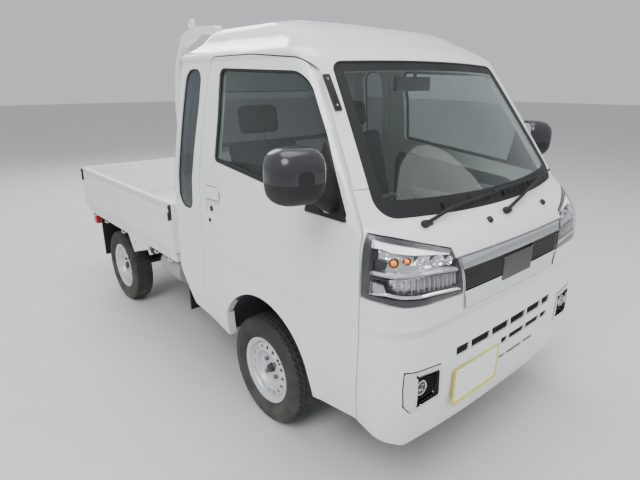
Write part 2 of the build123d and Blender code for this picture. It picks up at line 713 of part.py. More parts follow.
def build_seats():
    """Two seats, each with a cushion, a back and a head restraint."""
    seat = side_prism(SEAT_OUTLINE, -SEAT_WIDTH / 2, SEAT_WIDTH / 2, SEAT_RADII)
    rest = side_prism(REST_OUTLINE, -REST_WIDTH / 2, REST_WIDTH / 2, REST_RADII)
    return pair(Pos(SEAT_X, 0, 0) * (seat + rest))


def build_dashboard():
    """The instrument panel across the cab, with a raised cowl at the driver's side."""
    panel = side_prism(DASH_OUTLINE, -DASH_HALF, DASH_HALF, DASH_RADII)
    cowl = side_prism(COWL_OUTLINE, *COWL_X, COWL_RADII)
    return (panel + cowl) & cab_form(CAB_WALL + DOOR_CLEAR)


def column_plane():
    """The steering wheel's plane, facing the driver along the column."""
    tilt = radians(COLUMN_TILT)
    return Plane(origin=STEERING_HUB, x_dir=(1, 0, 0), z_dir=(0, cos(tilt), sin(tilt)))


def build_steering_wheel():
    """Rim, hub, three spokes and the turning shaft."""
    plane = column_plane()
    wheel = plane * Torus(STEERING_RADIUS, STEERING_GRIP) + plane * Cylinder(45, 50)
    for angle in (0, 180, 270):
        spoke = Rot(0, 0, angle) * Pos(STEERING_RADIUS / 2, 0, 0) * Box(STEERING_RADIUS, 26, 12)
        wheel += plane * spoke
    return wheel + plane * Pos(0, 0, -SHAFT_LENGTH / 2) * Cylinder(SHAFT_RADIUS, SHAFT_LENGTH)


def build_column(dashboard, floor):
    """The fixed column tube, from the dashboard down to the floor."""
    length = COLUMN_FROM - COLUMN_TO
    tube = Pos(0, 0, (COLUMN_FROM + COLUMN_TO) / 2) * Cylinder(COLUMN_RADIUS, length)
    bore = Pos(0, 0, -150) * Cylinder(SHAFT_RADIUS + 1, 300)
    return column_plane() * (tube - bore) - dashboard - floor


def build_room_mirror():
    """The mirror below the windscreen's head, on its stalk."""
    glass = Pos(0, -1085, 1600) * Box(240, 22, 62)
    stalk = rod((0, -1090, 1610), (0, -1120, 1700), 8)
    outside = box(-900, 900, -1800, 300, 1000, 2000) - cab_form(CAB_WALL)
    return glass + stalk - outside


def build_wipers():
    """Two wipers: a cap at the pivot, an arm in two lengths and the blade it carries."""
    skin = cab_form(0)
    wipers = []
    for pivot, elbow, start, middle, end in WIPERS:
        cap = Pos(*pivot) * Sphere(WIPER_CAP)
        over = (middle[0], middle[1] - ARM_LIFT, middle[2] + ARM_LIFT)
        arm = rod(pivot, elbow, WIPER_ARM) + Pos(*elbow) * Sphere(WIPER_ARM) + cap
        arm = arm + rod(elbow, over, WIPER_ARM - 1) + Pos(*over) * Sphere(WIPER_ARM)
        blade = rod(start, middle, WIPER_BLADE) + rod(middle, end, WIPER_BLADE)
        blade += Pos(*middle) * Sphere(WIPER_ARM + 1)
        wipers.append((arm - skin) + blade)
    return gather(wipers)


def build_mirror_arm():
    """The right mirror's sail plate on the door and the arm out of it."""
    sail = side_prism(SAIL_OUTLINE, -765, -660, SAIL_RADII)
    arm = rod((-700, -1350, 1186), (-812, -1345, 1238), ARM_RADIUS)
    return (sail & cab_form(-SAIL_THICK)) + arm - cab_form(0)


def build_mirrors():
    """The right mirror opened out, and the left one partly folded back."""
    x, y, z = MIRROR_CENTRE
    housing = Rot(0, 0, MIRROR_TURN) * fillet(Box(*MIRROR_SIZE).edges(), MIRROR_CORNER)
    pivot_x, pivot_y = MIRROR_PIVOT
    swing = Pos(pivot_x, pivot_y, z) * Rot(0, 0, MIRROR_FOLD) * Pos(x - pivot_x, y - pivot_y, 0)
    opened = Pos(x, y, z) * housing
    folded = swing * housing
    arm = build_mirror_arm()
    return opened + arm, mirrored(folded + arm)


# Chassis and bed


def build_frame():
    """Two rails with a kick-up behind the cab, joined by cross members."""
    web = Plane.YZ * trace(Polyline(*RAIL_PATH), RAIL_HEIGHT)
    rail = Pos(RAIL_X - RAIL_WIDTH / 2, 0, 0) * extrude(web, RAIL_WIDTH)
    frame = rail + mirrored(rail)
    side, half, low_z = FRAME_BEAM
    for y, z in RAIL_TIES:
        frame += box(-RAIL_X, RAIL_X, y - TIE_HALF, y + TIE_HALF, z - TIE_HALF, z + TIE_HALF)
    for y in CROSSBEAMS_Y:
        frame += box(-RAIL_X - side, RAIL_X + side, y - half, y + half, low_z, BEAM_LOW_Z)
    return frame


def build_bed_floor():
    """The load floor with its cross beams and side sills."""
    floor = box(-BED_HALF, BED_HALF, BED_FRONT_Y, BED_REAR_Y, BED_FLOOR_Z - BED_FLOOR_THICK, BED_FLOOR_Z)
    x, half = CROSSBEAM_HALF_X, CROSSBEAM_HALF_Y
    for y in CROSSBEAMS_Y:
        floor += box(-x, x, y - half, y + half, BEAM_LOW_Z, BEAM_TOP_Z)
    sill_x0, sill_x1, low_z, high_z = BED_SILL
    sill = box(sill_x0, sill_x1, BED_FRONT_Y, BED_REAR_Y, low_z, high_z)
    return floor + sill + mirrored(sill)


def build_headboard():
    """The bed's front wall, with two channels pressed along its rear face."""
    x, rear_y = HEADBOARD_HALF, HEADBOARD_Y + HEADBOARD_THICK
    wall = box(-x, x, HEADBOARD_Y, rear_y, BED_FLOOR_Z - HEADBOARD_DROP, GATE_TOP_Z)
    half_x, floor_y, half_z = HEADBOARD_GROOVE
    for z in HEADBOARD_GROOVES_Z:
        wall -= box(-half_x, half_x, HEADBOARD_Y + floor_y, rear_y + 1, z - half_z, z + half_z)
    return wall


def build_guard_posts():
    """The guard's two side plates, arched over the cab's rear corners, with their rope loops."""
    plate = side_prism(GUARD_OUTLINE, -GUARD_X[1], -GUARD_X[0], GUARD_RADII)
    (y, z), (foot_half, foot_z) = LOOP_CENTRE, LOOP_FOOT
    axis = Pos(-(LOOP_X[0] + LOOP_X[1]) / 2, y, z) * Rot(0, 90, 0)
    thick = LOOP_X[1] - LOOP_X[0]
    foot = box(-LOOP_X[1], -LOOP_X[0], y - foot_half, y + foot_half, foot_z, z)
    loop = axis * Cylinder(LOOP_OUTER, thick) + foot
    hole = axis * Cylinder(LOOP_INNER, thick + 2)
    return pair(plate + loop - hole)


def build_guard_bars():
    """The guard's cross bars, each between the two plates."""
    inner = GUARD_X[0]
    return gather(
        box(-inner, inner, y - GUARD_BAR_HALF, y + GUARD_BAR_HALF, z - half, z + half)
        for y, z, half in GUARD_BARS
    )


def gate_panel(length):
    """A gate lying along X from 0, its outer face towards -Y with pressed channels."""
    outline = [(depth, z) for depth, z in GATE_PROFILE]
    outline += [(GATE_THICK, GATE_TOP_Z), (GATE_THICK, GATE_LOW_Z)]
    panel = extrude(Plane.YZ * make_face(Polyline(*outline, close=True)), length)
    end = box(0, GATE_END, 0, GATE_THICK, GATE_LOW_Z, GATE_TOP_Z)
    return panel + end + Pos(length - GATE_END, 0, 0) * end


def build_side_gate():
    """The right drop side."""
    y0, y1 = GATE_Y
    return Pos(-HALF_WIDTH, y1, 0) * Rot(0, 0, -90) * gate_panel(y1 - y0)


def build_tailgate():
    """The rear gate, hinged along its lower edge."""
    half = HALF_WIDTH - GATE_THICK - DOOR_CLEAR
    return Pos(half, REAR_Y, 0) * Rot(0, 0, 180) * gate_panel(2 * half)


def build_rear_panel():
    """The rear cross member under the tailgate, with the blank plate's carrier."""
    return box(*REAR_BEAM) + box(*PLATE_CARRIER) + box(*REAR_BRACKET)


def build_tail_lamps():
    """The two rear lamp blocks under the cross member."""
    block = box(*TAIL_LAMP)
    return pair(fillet(block.edges().filter_by(Axis.Y), TAIL_LAMP_CORNER))


def build_gussets():
    """The panels under the bed's sill, ahead of each rear wheel."""
    plate = side_prism(GUSSET_OUTLINE, *GUSSET_X, GUSSET_RADII)
    (x0, x1), (y, z, radius) = GUSSET_X, GUSSET_HOLE
    return pair(plate - rod((x0 - 1, y, z), (x1 + 1, y, z), radius))


def build_mud_flaps():
    """Flaps behind the rear wheels, hung from the bed."""
    return pair(box(*MUD_FLAP))


def build_fuel_tank():
    """The tank on the left, outside the rail."""
    return fillet(box(*FUEL_TANK).edges().filter_by(Axis.Y), FUEL_TANK_CORNER)


def build_side_box():
    """The grey canister behind the cab on the right, on its bracket."""
    can = fillet(box(*CANISTER).edges().filter_by(Axis.Y), CANISTER_CORNER)
    return can + box(*CANISTER_BRACKET)


def build_splash_shield():
    """The dark shield that hangs behind the cab on the right."""
    return box(*SHIELD_PLATE) + box(*SHIELD_EAR)


def build_engine():
    """The engine and gearbox as one plain block under the seats."""
    return box(*ENGINE_BLOCK) + box(*GEARBOX)


def build_exhaust():
    """Silencer and tail pipe on the left."""
    x, z = EXHAUST_PLACE
    front, silencer, tail = (
        rod((x, y0, z), (x, y1, z), radius) for y0, y1, radius in EXHAUST_LENGTHS
    )
    return front + silencer + tail


def build_propshaft():
    """The shaft from the gearbox to the rear axle."""
    return rod(PROPSHAFT_START, PROPSHAFT_END, PROPSHAFT_RADIUS)


def build_rear_axle():
    """Beam axle with its differential and brake drums."""
    outline = make_face(Polyline(*AXLE_OUTLINE, close=True))
    beam = Rot(0, 90, 0) * revolve(Plane.XZ * outline, Axis.Z)
    return Pos(0, REAR_AXLE_Y, TYRE_RADIUS) * beam


def build_leaf_springs():
    """Leaf springs over the beam axle, with their hangers on the rails."""
    x, y = SPRING_X, REAR_AXLE_Y
    front_y, rear_y = SPRING_ENDS_Y
    path = ThreePointArc((front_y, SPRING_END_Z), (y, SPRING_LOW_Z), (rear_y, SPRING_END_Z))
    leaf = Plane.YZ * trace(path, SPRING_THICK)
    spring = Pos(x - SPRING_HALF, 0, 0) * extrude(leaf, 2 * SPRING_HALF)
    half_x, half_y, low_z, high_z = SPRING_CLAMP
    spring += box(x - half_x, x + half_x, y - half_y, y + half_y, low_z, high_z)
    half_y, low_z, high_z = SPRING_HANGER
    inner = RAIL_X + RAIL_WIDTH / 2
    for end_y in SPRING_ENDS_Y:
        spring += box(inner, x + SPRING_HALF, end_y - half_y, end_y + half_y, low_z, high_z)
    tube = rod((-BED_HALF, y, TYRE_RADIUS), (BED_HALF, y, TYRE_RADIUS), AXLE_TUBE_RADIUS)
    return pair(spring - tube)


def build_front_suspension():
    """Cross member, lower arms and struts, up to the knuckles' pivots."""
    y = FRONT_AXLE_Y
    half_x, ahead, behind, low_z, high_z = AXLE_BEAM
    beam = box(-half_x, half_x, y - ahead, y + behind, low_z, high_z)
    arm = rod((-half_x, y, LOWER_ARM_Z[0]), (-KINGPIN_X, y, LOWER_ARM_Z[1]), LOWER_ARM_RADIUS)
    post_x0, post_x1, post_z0, post_z1 = BEAM_POST
    post = box(post_x0, post_x1, y - ahead, y + behind, post_z0, post_z1)
    strut, spring = (
        rod((x0, y, z0), (x1, y, z1), radius)
        for (x0, z0), (x1, z1), radius in (STRUT, STRUT_SPRING)
    )
    strut += spring
    over, eye_x, half_y, eye_z0, eye_z1 = STRUT_EYE
    eye = box(-KINGPIN_X - over, eye_x, y - half_y, y + half_y, eye_z0, eye_z1)
    low = arm + post + beam
    return gather([low + mirrored(low), pair(strut + eye)])


def build_knuckle():
    """The right knuckle: upright, stub axle and brake disc, turning with the steering."""
    y = FRONT_AXLE_Y
    low_z, high_z, radius = KNUCKLE_POST
    post = rod((-KINGPIN_X, y, low_z), (-KINGPIN_X, y, high_z), radius)
    inset, end_x, radius = KNUCKLE_STUB
    stub = rod((-KINGPIN_X + inset, y, TYRE_RADIUS), (end_x, y, TYRE_RADIUS), radius)
    x0, x1, radius = BRAKE_DISC
    return post + stub + rod((x0, y, TYRE_RADIUS), (x1, y, TYRE_RADIUS), radius)


# Wheels


def build_tyre():
    """A tyre about the X axis: tread, shoulders, side walls and bead seats."""
    half = TYRE_WIDTH / 2
    right = [
        (BEAD_RADIUS, RIM_HALF_WIDTH - 7), (FLANGE_RADIUS + 0.5, RIM_HALF_WIDTH - 7),
        (FLANGE_RADIUS + 3, RIM_HALF_WIDTH), (180, 65), (212, half), (246, half - 5),
        (262, half - 14), (TYRE_RADIUS - 1, half - 26),
    ]
    left = [(radius, -across) for radius, across in reversed(right)]
    outline = Polyline(*right, (TYRE_RADIUS, 0), *left, close=True)
    return Rot(0, 90, 0) * revolve(Plane.XZ * make_face(outline), Axis.Z)


def build_rim():
    """A pressed steel rim about the X axis, its dish and ring of holes facing +X."""
    w = RIM_HALF_WIDTH
    inner = BEAD_RADIUS - 6
    barrel = Polyline(
        (BEAD_RADIUS, -w + 7), (BEAD_RADIUS, w - 7), (FLANGE_RADIUS, w - 7), (FLANGE_RADIUS, w),
        (FLANGE_RADIUS - 6, w), (FLANGE_RADIUS - 12, w - 4), (inner, w - 8), (inner, w - 14),
        (WELL_RADIUS, w - 24), (WELL_RADIUS, -w + 14), (inner, -w + 6), (inner, -w),
        (FLANGE_RADIUS, -w), (FLANGE_RADIUS, -w + 7),
        close=True,
    )
    front = ((24, 6), (72, 6), (86, 15), (94, 33), (101, 38), (131, 30), (WELL_RADIUS + 1, 20))
    back = ((WELL_RADIUS + 1, 14), (130, 24), (103, 31), (98, 27), (90, 9), (73, 0), (24, 0))
    dish = Polyline(*[(radius, HUB_FACE + x) for radius, x in front + back], close=True)
    ring = revolve(Plane.XZ * make_face(barrel), Axis.Z)
    disc = revolve(Plane.XZ * make_face(dish), Axis.Z)
    for step in range(WHEEL_HOLES):
        hole = Pos(HOLE_CIRCLE, 0, HUB_FACE + 30) * Cylinder(HOLE_RADIUS, 60)
        disc -= Rot(0, 0, 360 / WHEEL_HOLES * step) * hole
    for step in range(NUTS):
        nut = Pos(NUT_CIRCLE, 0, HUB_FACE + 10) * Cylinder(9, 14)
        disc += Rot(0, 0, 360 / NUTS * (step + 0.5)) * nut
    return Rot(0, 90, 0) * (ring + disc)


def place_wheels(tyre, rim):
    """The four wheels' pieces at their places, by node name."""
    places = (
        # name, x, y
        ("front_right", -FRONT_WHEEL_X, FRONT_AXLE_Y),
        ("front_left", FRONT_WHEEL_X, FRONT_AXLE_Y),
        ("rear_right", -REAR_WHEEL_X, REAR_AXLE_Y),
        ("rear_left", REAR_WHEEL_X, REAR_AXLE_Y),
    )
    placed = {}
    for name, x, y in places:
        turn = Rot(0, 0, 0 if x > 0 else 180)
        for kind, shape in (("tyre", tyre), ("rim", rim)):
            placed[f"{kind}_{name}"] = Pos(x, y, TYRE_RADIUS) * turn * shape
    return placed


def main():
    """Build every node and write it."""
    os.makedirs("parts", exist_ok=True)
    nodes = build_cab()
    nodes["cab_floor"] = build_cab_floor()
    nodes["seats"] = build_seats()
    nodes["dashboard"] = build_dashboard()
    nodes["steering_wheel"] = build_steering_wheel()
    nodes["steering_column"] = build_column(nodes["dashboard"], nodes["cab_floor"])
    nodes["room_mirror"] = build_room_mirror()
    nodes["wipers"] = build_wipers()
    nodes["mirror_right"], nodes["mirror_left"] = build_mirrors()
    nodes["frame"] = build_frame()
    nodes["bed_floor"] = build_bed_floor()
    nodes["headboard"] = build_headboard()
    nodes["guard_posts"] = build_guard_posts()
    nodes["guard_bars"] = build_guard_bars()
    gate = build_side_gate()
    nodes["side_gate_right"] = gate
    nodes["side_gate_left"] = mirrored(gate)
    nodes["tailgate"] = build_tailgate()
    nodes["rear_panel"] = build_rear_panel()
    nodes["tail_lamps"] = build_tail_lamps()
    nodes["gussets"] = build_gussets()
    nodes["mud_flaps"] = build_mud_flaps()
    nodes["fuel_tank"] = build_fuel_tank()
    nodes["side_box"] = build_side_box()
    nodes["splash_shield"] = build_splash_shield()
    nodes["engine"] = build_engine()
    nodes["exhaust"] = build_exhaust()
    nodes["propshaft"] = build_propshaft()
    nodes["rear_axle"] = build_rear_axle()
    nodes["leaf_springs"] = build_leaf_springs()
    nodes["front_suspension"] = build_front_suspension()
    knuckle = build_knuckle()
    nodes["knuckle_right"] = knuckle
    nodes["knuckle_left"] = mirrored(knuckle)
    nodes.update(place_wheels(build_tyre(), build_rim()))
    for name, shape in nodes.items():
        save(name, shape)


if __name__ == "__main__":
    main()
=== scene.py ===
"""Looks of a small cab-over pickup truck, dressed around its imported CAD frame.

Everything is in metres in the frame's own axes: the front faces -Y, +Z is up, and the vehicle's
right side, where the driver sits, is -X.
"""

import logging
import math
from collections.abc import Callable, Sequence
from dataclasses import dataclass
from enum import Enum

import bmesh
import bpy
from mathutils import Matrix, Vector
from mathutils.bvhtree import BVHTree
from mathutils.geometry import delaunay_2d_cdt


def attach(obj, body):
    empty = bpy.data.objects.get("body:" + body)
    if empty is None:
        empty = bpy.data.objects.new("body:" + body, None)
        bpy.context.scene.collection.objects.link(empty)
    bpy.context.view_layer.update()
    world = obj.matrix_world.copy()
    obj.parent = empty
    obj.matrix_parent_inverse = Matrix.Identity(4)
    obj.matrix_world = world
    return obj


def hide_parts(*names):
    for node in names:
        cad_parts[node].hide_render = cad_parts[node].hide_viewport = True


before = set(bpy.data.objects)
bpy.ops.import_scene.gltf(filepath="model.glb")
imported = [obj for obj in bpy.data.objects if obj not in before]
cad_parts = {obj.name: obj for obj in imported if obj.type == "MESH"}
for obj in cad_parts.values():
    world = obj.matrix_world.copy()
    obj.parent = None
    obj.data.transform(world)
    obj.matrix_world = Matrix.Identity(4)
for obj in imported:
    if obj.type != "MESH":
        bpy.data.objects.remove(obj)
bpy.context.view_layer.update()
LOG = logging.getLogger("kei_truck")

Point = tuple[float, float, float]
Flat = tuple[float, float]
Line = tuple[Flat, ...]
Box = tuple[float, float, float, float]
Row = tuple[float, ...]
Path = Sequence[Sequence[float]]
Colour = tuple[float, float, float]


# Shader effects that several finishes share


class Effect(Enum):
    """The shared shader node groups."""

    GRAIN = "grain"
    DUST = "dust"
    WEAR = "edge_wear"


class Bench:
    """Adds and links nodes in one node tree."""

    def __init__(self, tree: bpy.types.NodeTree) -> None:
        """Keep the tree that the nodes go into."""
        self.tree = tree

    def node(self, kind: str, **settings: object) -> bpy.types.Node:
        """Add a node.

        Args:
            kind: The node's Blender type.
            **settings: Properties set on the node.

        Returns:
            The new node.
        """
        made = self.tree.nodes.new(kind)
        for name, value in settings.items():
            setattr(made, name, value)
        return made

    def join(self, source: bpy.types.NodeSocket, target: object) -> None:
        """Feed a socket from another socket, or give it a plain value.

        Args:
            source: The socket or value to feed from.
            target: The input socket.
        """
        if isinstance(source, bpy.types.NodeSocket):
            self.tree.links.new(source, target)
        else:
            target.default_value = source

    def math(self, operation: str, first: object, second: object = 0.0) -> bpy.types.NodeSocket:
        """Add a Math node and return its output.

        Args:
            operation: Blender's name of the operation.
            first: A socket or a number.
            second: A socket or a number.

        Returns:
            The result's socket.
        """
        made = self.node("ShaderNodeMath", operation=operation)
        self.join(first, made.inputs[0])
        self.join(second, made.inputs[1])
        return made.outputs[0]

    def span(self, value: object, low: float, high: float, to_low: object,
             to_high: object) -> bpy.types.NodeSocket:
        """Add a clamped Map Range node and return its output.

        Args:
            value: The socket to map.
            low: Where the span starts.
            high: Where the span ends.
            to_low: What the start becomes.
            to_high: What the end becomes.

        Returns:
            The result's socket.
        """
        made = self.node("ShaderNodeMapRange")
        for place, given in enumerate((value, low, high, to_low, to_high)):
            self.join(given, made.inputs[place])
        return made.outputs[0]

    def blend(self, mask: object, first: object, second: object) -> bpy.types.NodeSocket:
        """Mix two colours by a mask and return the result's socket.

        Args:
            mask: The mask's socket, 0 for the first colour.
            first: A colour or a socket.
            second: A colour or a socket.

        Returns:
            The mixed colour's socket.
        """
        made = self.node("ShaderNodeMix", data_type="RGBA")
        self.join(mask, made.inputs[0])
        for place, given in ((6, first), (7, second)):
            self.join((*given, 1.0) if isinstance(given, tuple) else given, made.inputs[place])
        return made.outputs[2]

    def noise(self, scale: object, detail: float) -> bpy.types.NodeSocket:
        """Add a noise texture in object space and return its value.

        Args:
            scale: A socket or a number.
            detail: How many finer layers it has.

        Returns:
            The value's socket.
        """
        made = self.node("ShaderNodeTexNoise")
        made.inputs["Detail"].default_value = detail
        self.join(self.node("ShaderNodeTexCoord").outputs["Object"], made.inputs["Vector"])
        self.join(scale, made.inputs["Scale"])
        return made.outputs[0]


class EffectShop:
    """Builds each shared effect once and places it in materials."""

    def __init__(self) -> None:
        """Start with no group made."""
        self._made: dict[Effect, bpy.types.NodeTree] = {}

    def place(self, bench: Bench, effect: Effect, **values: float) -> bpy.types.Node:
        """Put an effect into a material.

        Args:
            bench: The material's bench.
            effect: Which effect.
            **values: The group's inputs by name.

        Returns:
            The group's node in the material.
        """
        if effect not in self._made:
            builders = {
                Effect.GRAIN: self._grain,
                Effect.DUST: self._dust,
                Effect.WEAR: self._wear,
            }
            self._made[effect] = builders[effect]()
        group = bench.node("ShaderNodeGroup")
        group.node_tree = self._made[effect]
        for name, value in values.items():
            group.inputs[name].default_value = value
        return group

    @staticmethod
    def _open(name: str, inputs: tuple[str, ...], outputs: tuple[str, ...]) -> tuple:
        """Start a node group with float sockets.

        Args:
            name: The group's name.
            inputs: Names of the inputs.
            outputs: Names of the outputs.

        Returns:
            The tree, its bench, its input node and its output node.
        """
        tree = bpy.data.node_groups.new(name, "ShaderNodeTree")
        for socket in inputs:
            tree.interface.new_socket(socket, in_out="INPUT", socket_type="NodeSocketFloat")
        for socket in outputs:
            tree.interface.new_socket(socket, in_out="OUTPUT", socket_type="NodeSocketFloat")
        bench = Bench(tree)
        return tree, bench, bench.node("NodeGroupInput"), bench.node("NodeGroupOutput")

    def _grain(self) -> bpy.types.NodeTree:
        """Fine relief and a slow change of shade over a surface."""
        tree, bench, given, out = self._open("grain", ("Scale", "Depth", "Patch"), ("Height", "Shade"))
        fine = bench.noise(given.outputs["Scale"], 3.0)
        slow = bench.noise(given.outputs["Patch"], 4.0)
        relief = bench.math("MULTIPLY", fine, given.outputs["Depth"])
        bench.join(relief, out.inputs["Height"])
        bench.join(bench.span(slow, 0.3, 0.7, 0.0, 1.0), out.inputs["Shade"])
        return tree

    def _dust(self) -> bpy.types.NodeTree:
        """Road dust that gathers below a level."""
        tree, bench, given, out = self._open("dust", ("Level", "Fade", "Amount", "Scale"), ("Mask",))
        split = bench.node("ShaderNodeSeparateXYZ")
        bench.join(bench.node("ShaderNodeTexCoord").outputs["Object"], split.inputs[0])
        depth = bench.math("SUBTRACT", given.outputs["Level"], split.outputs["Z"])
        share = bench.math("DIVIDE", depth, given.outputs["Fade"])
        patches = bench.span(bench.noise(given.outputs["Scale"], 6.0), 0.35, 0.75, 0.2, 1.0)
        level = bench.span(share, 0.0, 1.0, 0.0, 1.0)
        mask = bench.math("MULTIPLY", bench.math("MULTIPLY", level, patches), given.outputs["Amount"])
        bench.join(mask, out.inputs["Mask"])
        return tree

    def _wear(self) -> bpy.types.NodeTree:
        """Rubbed edges, broken up by noise."""
        tree, bench, given, out = self._open("edge_wear", ("Amount", "Scale"), ("Mask",))
        edge = bench.node("ShaderNodeNewGeometry").outputs["Pointiness"]
        sharp = bench.span(edge, 0.52, 0.62, 0.0, 1.0)
        broken = bench.span(bench.noise(given.outputs["Scale"], 5.0), 0.45, 0.6, 0.0, 1.0)
        mask = bench.math("MULTIPLY", bench.math("MULTIPLY", sharp, broken), given.outputs["Amount"])
        bench.join(mask, out.inputs["Mask"])
        return tree


SHOP = EffectShop()


# Finishes


@dataclass(frozen=True)
class Surface:
    """A material that is built once under its own name."""

    name: str
    color: Colour

    def material(self) -> bpy.types.Material:
        """Build the material once, or return the one that is already built."""
        found = bpy.data.materials.get(self.name)
        if found:
            return found
        made = bpy.data.materials.new(self.name)
        made.use_nodes = True
        self.dress(made, Bench(made.node_tree), made.node_tree.nodes["Principled BSDF"])
        return made

    def dress(self, made: bpy.types.Material, bench: Bench, shader: bpy.types.Node) -> None:
        """Fill the material in.

        Args:
            made: The new material.
            bench: The bench of its node tree.
            shader: Its Principled node.
        """
        raise NotImplementedError


@dataclass(frozen=True)
class Finish(Surface):
    """An opaque surface.

    The colour varies by tone over patches, a fine grain lifts the surface, dust gathers below a
    level, and edges wear to a second colour.
    """

    roughness: float
    metallic: float = 0.0
    coat: float = 0.0
    grain: float = 900.0
    depth: float = 0.0
    tone: float = 0.05
    patch: float = 5.0
    dust: float = 0.0
    dust_level: float = 0.62
    dust_fade: float = 0.5
    dust_scale: float = 9.0
    dust_color: Colour = (0.34, 0.3, 0.25)
    wear: float = 0.0
    wear_scale: float = 40.0
    wear_color: Colour = (0.3, 0.3, 0.3)
    coat_roughness: float = 0.03
    relief: float = 0.5

    def dress(self, made: bpy.types.Material, bench: Bench, shader: bpy.types.Node) -> None:
        """Fill the material in, as Surface says."""
        grain = SHOP.place(bench, Effect.GRAIN, Scale=self.grain, Depth=1.0, Patch=self.patch)
        shade = grain.outputs["Shade"]
        color = bench.blend(shade, tuple(c * (1.0 - self.tone) for c in self.color), self.color)
        rough = bench.span(shade, 0.0, 1.0, min(1.0, self.roughness * 1.15), self.roughness * 0.9)
        if self.wear:
            worn = SHOP.place(bench, Effect.WEAR, Amount=self.wear, Scale=self.wear_scale)
            color = bench.blend(worn.outputs["Mask"], color, self.wear_color)
        if self.dust:
            dusty = SHOP.place(bench, Effect.DUST, Level=self.dust_level, Fade=self.dust_fade,
                               Amount=self.dust, Scale=self.dust_scale).outputs["Mask"]
            color = bench.blend(dusty, color, self.dust_color)
            rough = bench.math("MAXIMUM", rough, bench.span(dusty, 0.0, 0.6, 0.0, 0.8))
        bench.join(color, shader.inputs["Base Color"])
        bench.join(rough, shader.inputs["Roughness"])
        if self.depth:
            bump = bench.node("ShaderNodeBump")
            bump.inputs["Strength"].default_value = self.relief
            bump.inputs["Distance"].default_value = self.depth
            bench.join(grain.outputs["Height"], bump.inputs["Height"])
            bench.join(bump.outputs[0], shader.inputs["Normal"])
        shader.inputs["Metallic"].default_value = self.metallic
        shader.inputs["Coat Weight"].default_value = self.coat
        shader.inputs["Coat Roughness"].default_value = self.coat_roughness
        made.diffuse_color = (*self.color, 1.0)


@dataclass(frozen=True)
class Glass(Surface):
    """A clear or tinted pane that lets light through without a hard shadow."""

    roughness: float = 0.0
    index: float = 1.45
    haze: float = 0.012
    tone: float = 0.04
    grain: float = 60.0
    patch: float = 3.0
    preview: float = 0.4

    def dress(self, made: bpy.types.Material, bench: Bench, shader: bpy.types.Node) -> None:
        """Fill the material in, as Surface says."""
        shader.inputs["Transmission Weight"].default_value = 1.0
        shader.inputs["IOR"].default_value = self.index
        grain = SHOP.place(bench, Effect.GRAIN, Scale=self.grain, Depth=1.0, Patch=self.patch)
        shade = grain.outputs["Shade"]
        color = bench.blend(shade, tuple(c * (1.0 - self.tone) for c in self.color), self.color)
        bench.join(color, shader.inputs["Base Color"])
        rough = bench.span(shade, 0.0, 1.0, self.roughness + self.haze, self.roughness)
        bench.join(rough, shader.inputs["Roughness"])
        clear = bench.node("ShaderNodeBsdfTransparent")
        clear.inputs["Color"].default_value = (*self.color, 1.0)
        path = bench.node("ShaderNodeLightPath")
        mix = bench.node("ShaderNodeMixShader")
        bench.join(path.outputs["Is Shadow Ray"], mix.inputs["Fac"])
        bench.join(shader.outputs[0], mix.inputs[1])
        bench.join(clear.outputs[0], mix.inputs[2])
        bench.join(mix.outputs[0], made.node_tree.nodes["Material Output"].inputs["Surface"])
        made.diffuse_color = (*self.color, self.preview)


BODY_WHITE = Finish("body_white", (0.83, 0.84, 0.83), 0.3, coat=0.8, grain=260, depth=0.00006,
                    tone=0.02, dust=0.12, dust_level=0.6)
BED_WHITE = Finish("bed_white", (0.82, 0.83, 0.82), 0.42, coat=0.3, grain=300, depth=0.0001,
                   tone=0.05, dust=0.2, dust_level=0.75, wear=0.25, wear_color=(0.5, 0.5, 0.48))
CHASSIS_BLACK = Finish("chassis_black", (0.022, 0.022, 0.024), 0.5, grain=350, depth=0.0004,
                       tone=0.3, dust=0.5, dust_level=0.7, wear=0.5, wear_color=(0.1, 0.08, 0.07))
TRIM_BLACK = Finish("trim_black", (0.011, 0.011, 0.012), 0.55, grain=1400, depth=0.0003, tone=0.2)
GREY_PLASTIC = Finish("grey_plastic", (0.3, 0.31, 0.32), 0.55, grain=1200, depth=0.0003, tone=0.1)
CABIN_DARK = Finish("cabin_dark", (0.055, 0.056, 0.06), 0.6, grain=1600, depth=0.0005, tone=0.15)
CABIN_GREY = Finish("cabin_grey", (0.28, 0.28, 0.28), 0.65, grain=1500, depth=0.0005, tone=0.1)
CHROME = Finish("chrome", (0.36, 0.365, 0.37), 0.1, metallic=1.0, grain=120, depth=0.00002, tone=0.03)
BARE_METAL = Finish("bare_metal", (0.24, 0.23, 0.22), 0.55, metallic=0.8, grain=220, depth=0.0006,
                    tone=0.35, dust=0.4, dust_level=0.6)
EXHAUST_STEEL = Finish("exhaust_steel", (0.4, 0.37, 0.33), 0.42, metallic=1.0, grain=180,
                       depth=0.0003, tone=0.4, patch=9.0, dust=0.4, dust_level=0.6)
WHEEL_SILVER = Finish("wheel_silver", (0.62, 0.63, 0.65), 0.34, metallic=0.75, coat=0.2, grain=500,
                      depth=0.00015, tone=0.1, dust=0.12, dust_level=0.5)
TYRE_RUBBER = Finish("tyre_rubber", (0.022, 0.022, 0.023), 0.72, grain=700, depth=0.0005, tone=0.3,
                     patch=14.0, dust=0.28, dust_level=0.5)
LAMP_RED = Finish("lamp_red", (0.5, 0.012, 0.015), 0.12, coat=1.0, grain=90, depth=0.0004, tone=0.1)
MIRROR_BLACK = Finish("mirror_black", (0.006, 0.006, 0.008), 0.12, coat=0.5, grain=200,
                      depth=0.00003, tone=0.1)
SEAT_CLOTH = Finish("seat_cloth", (0.075, 0.077, 0.085), 0.85, grain=1100, depth=0.0008, tone=0.25)

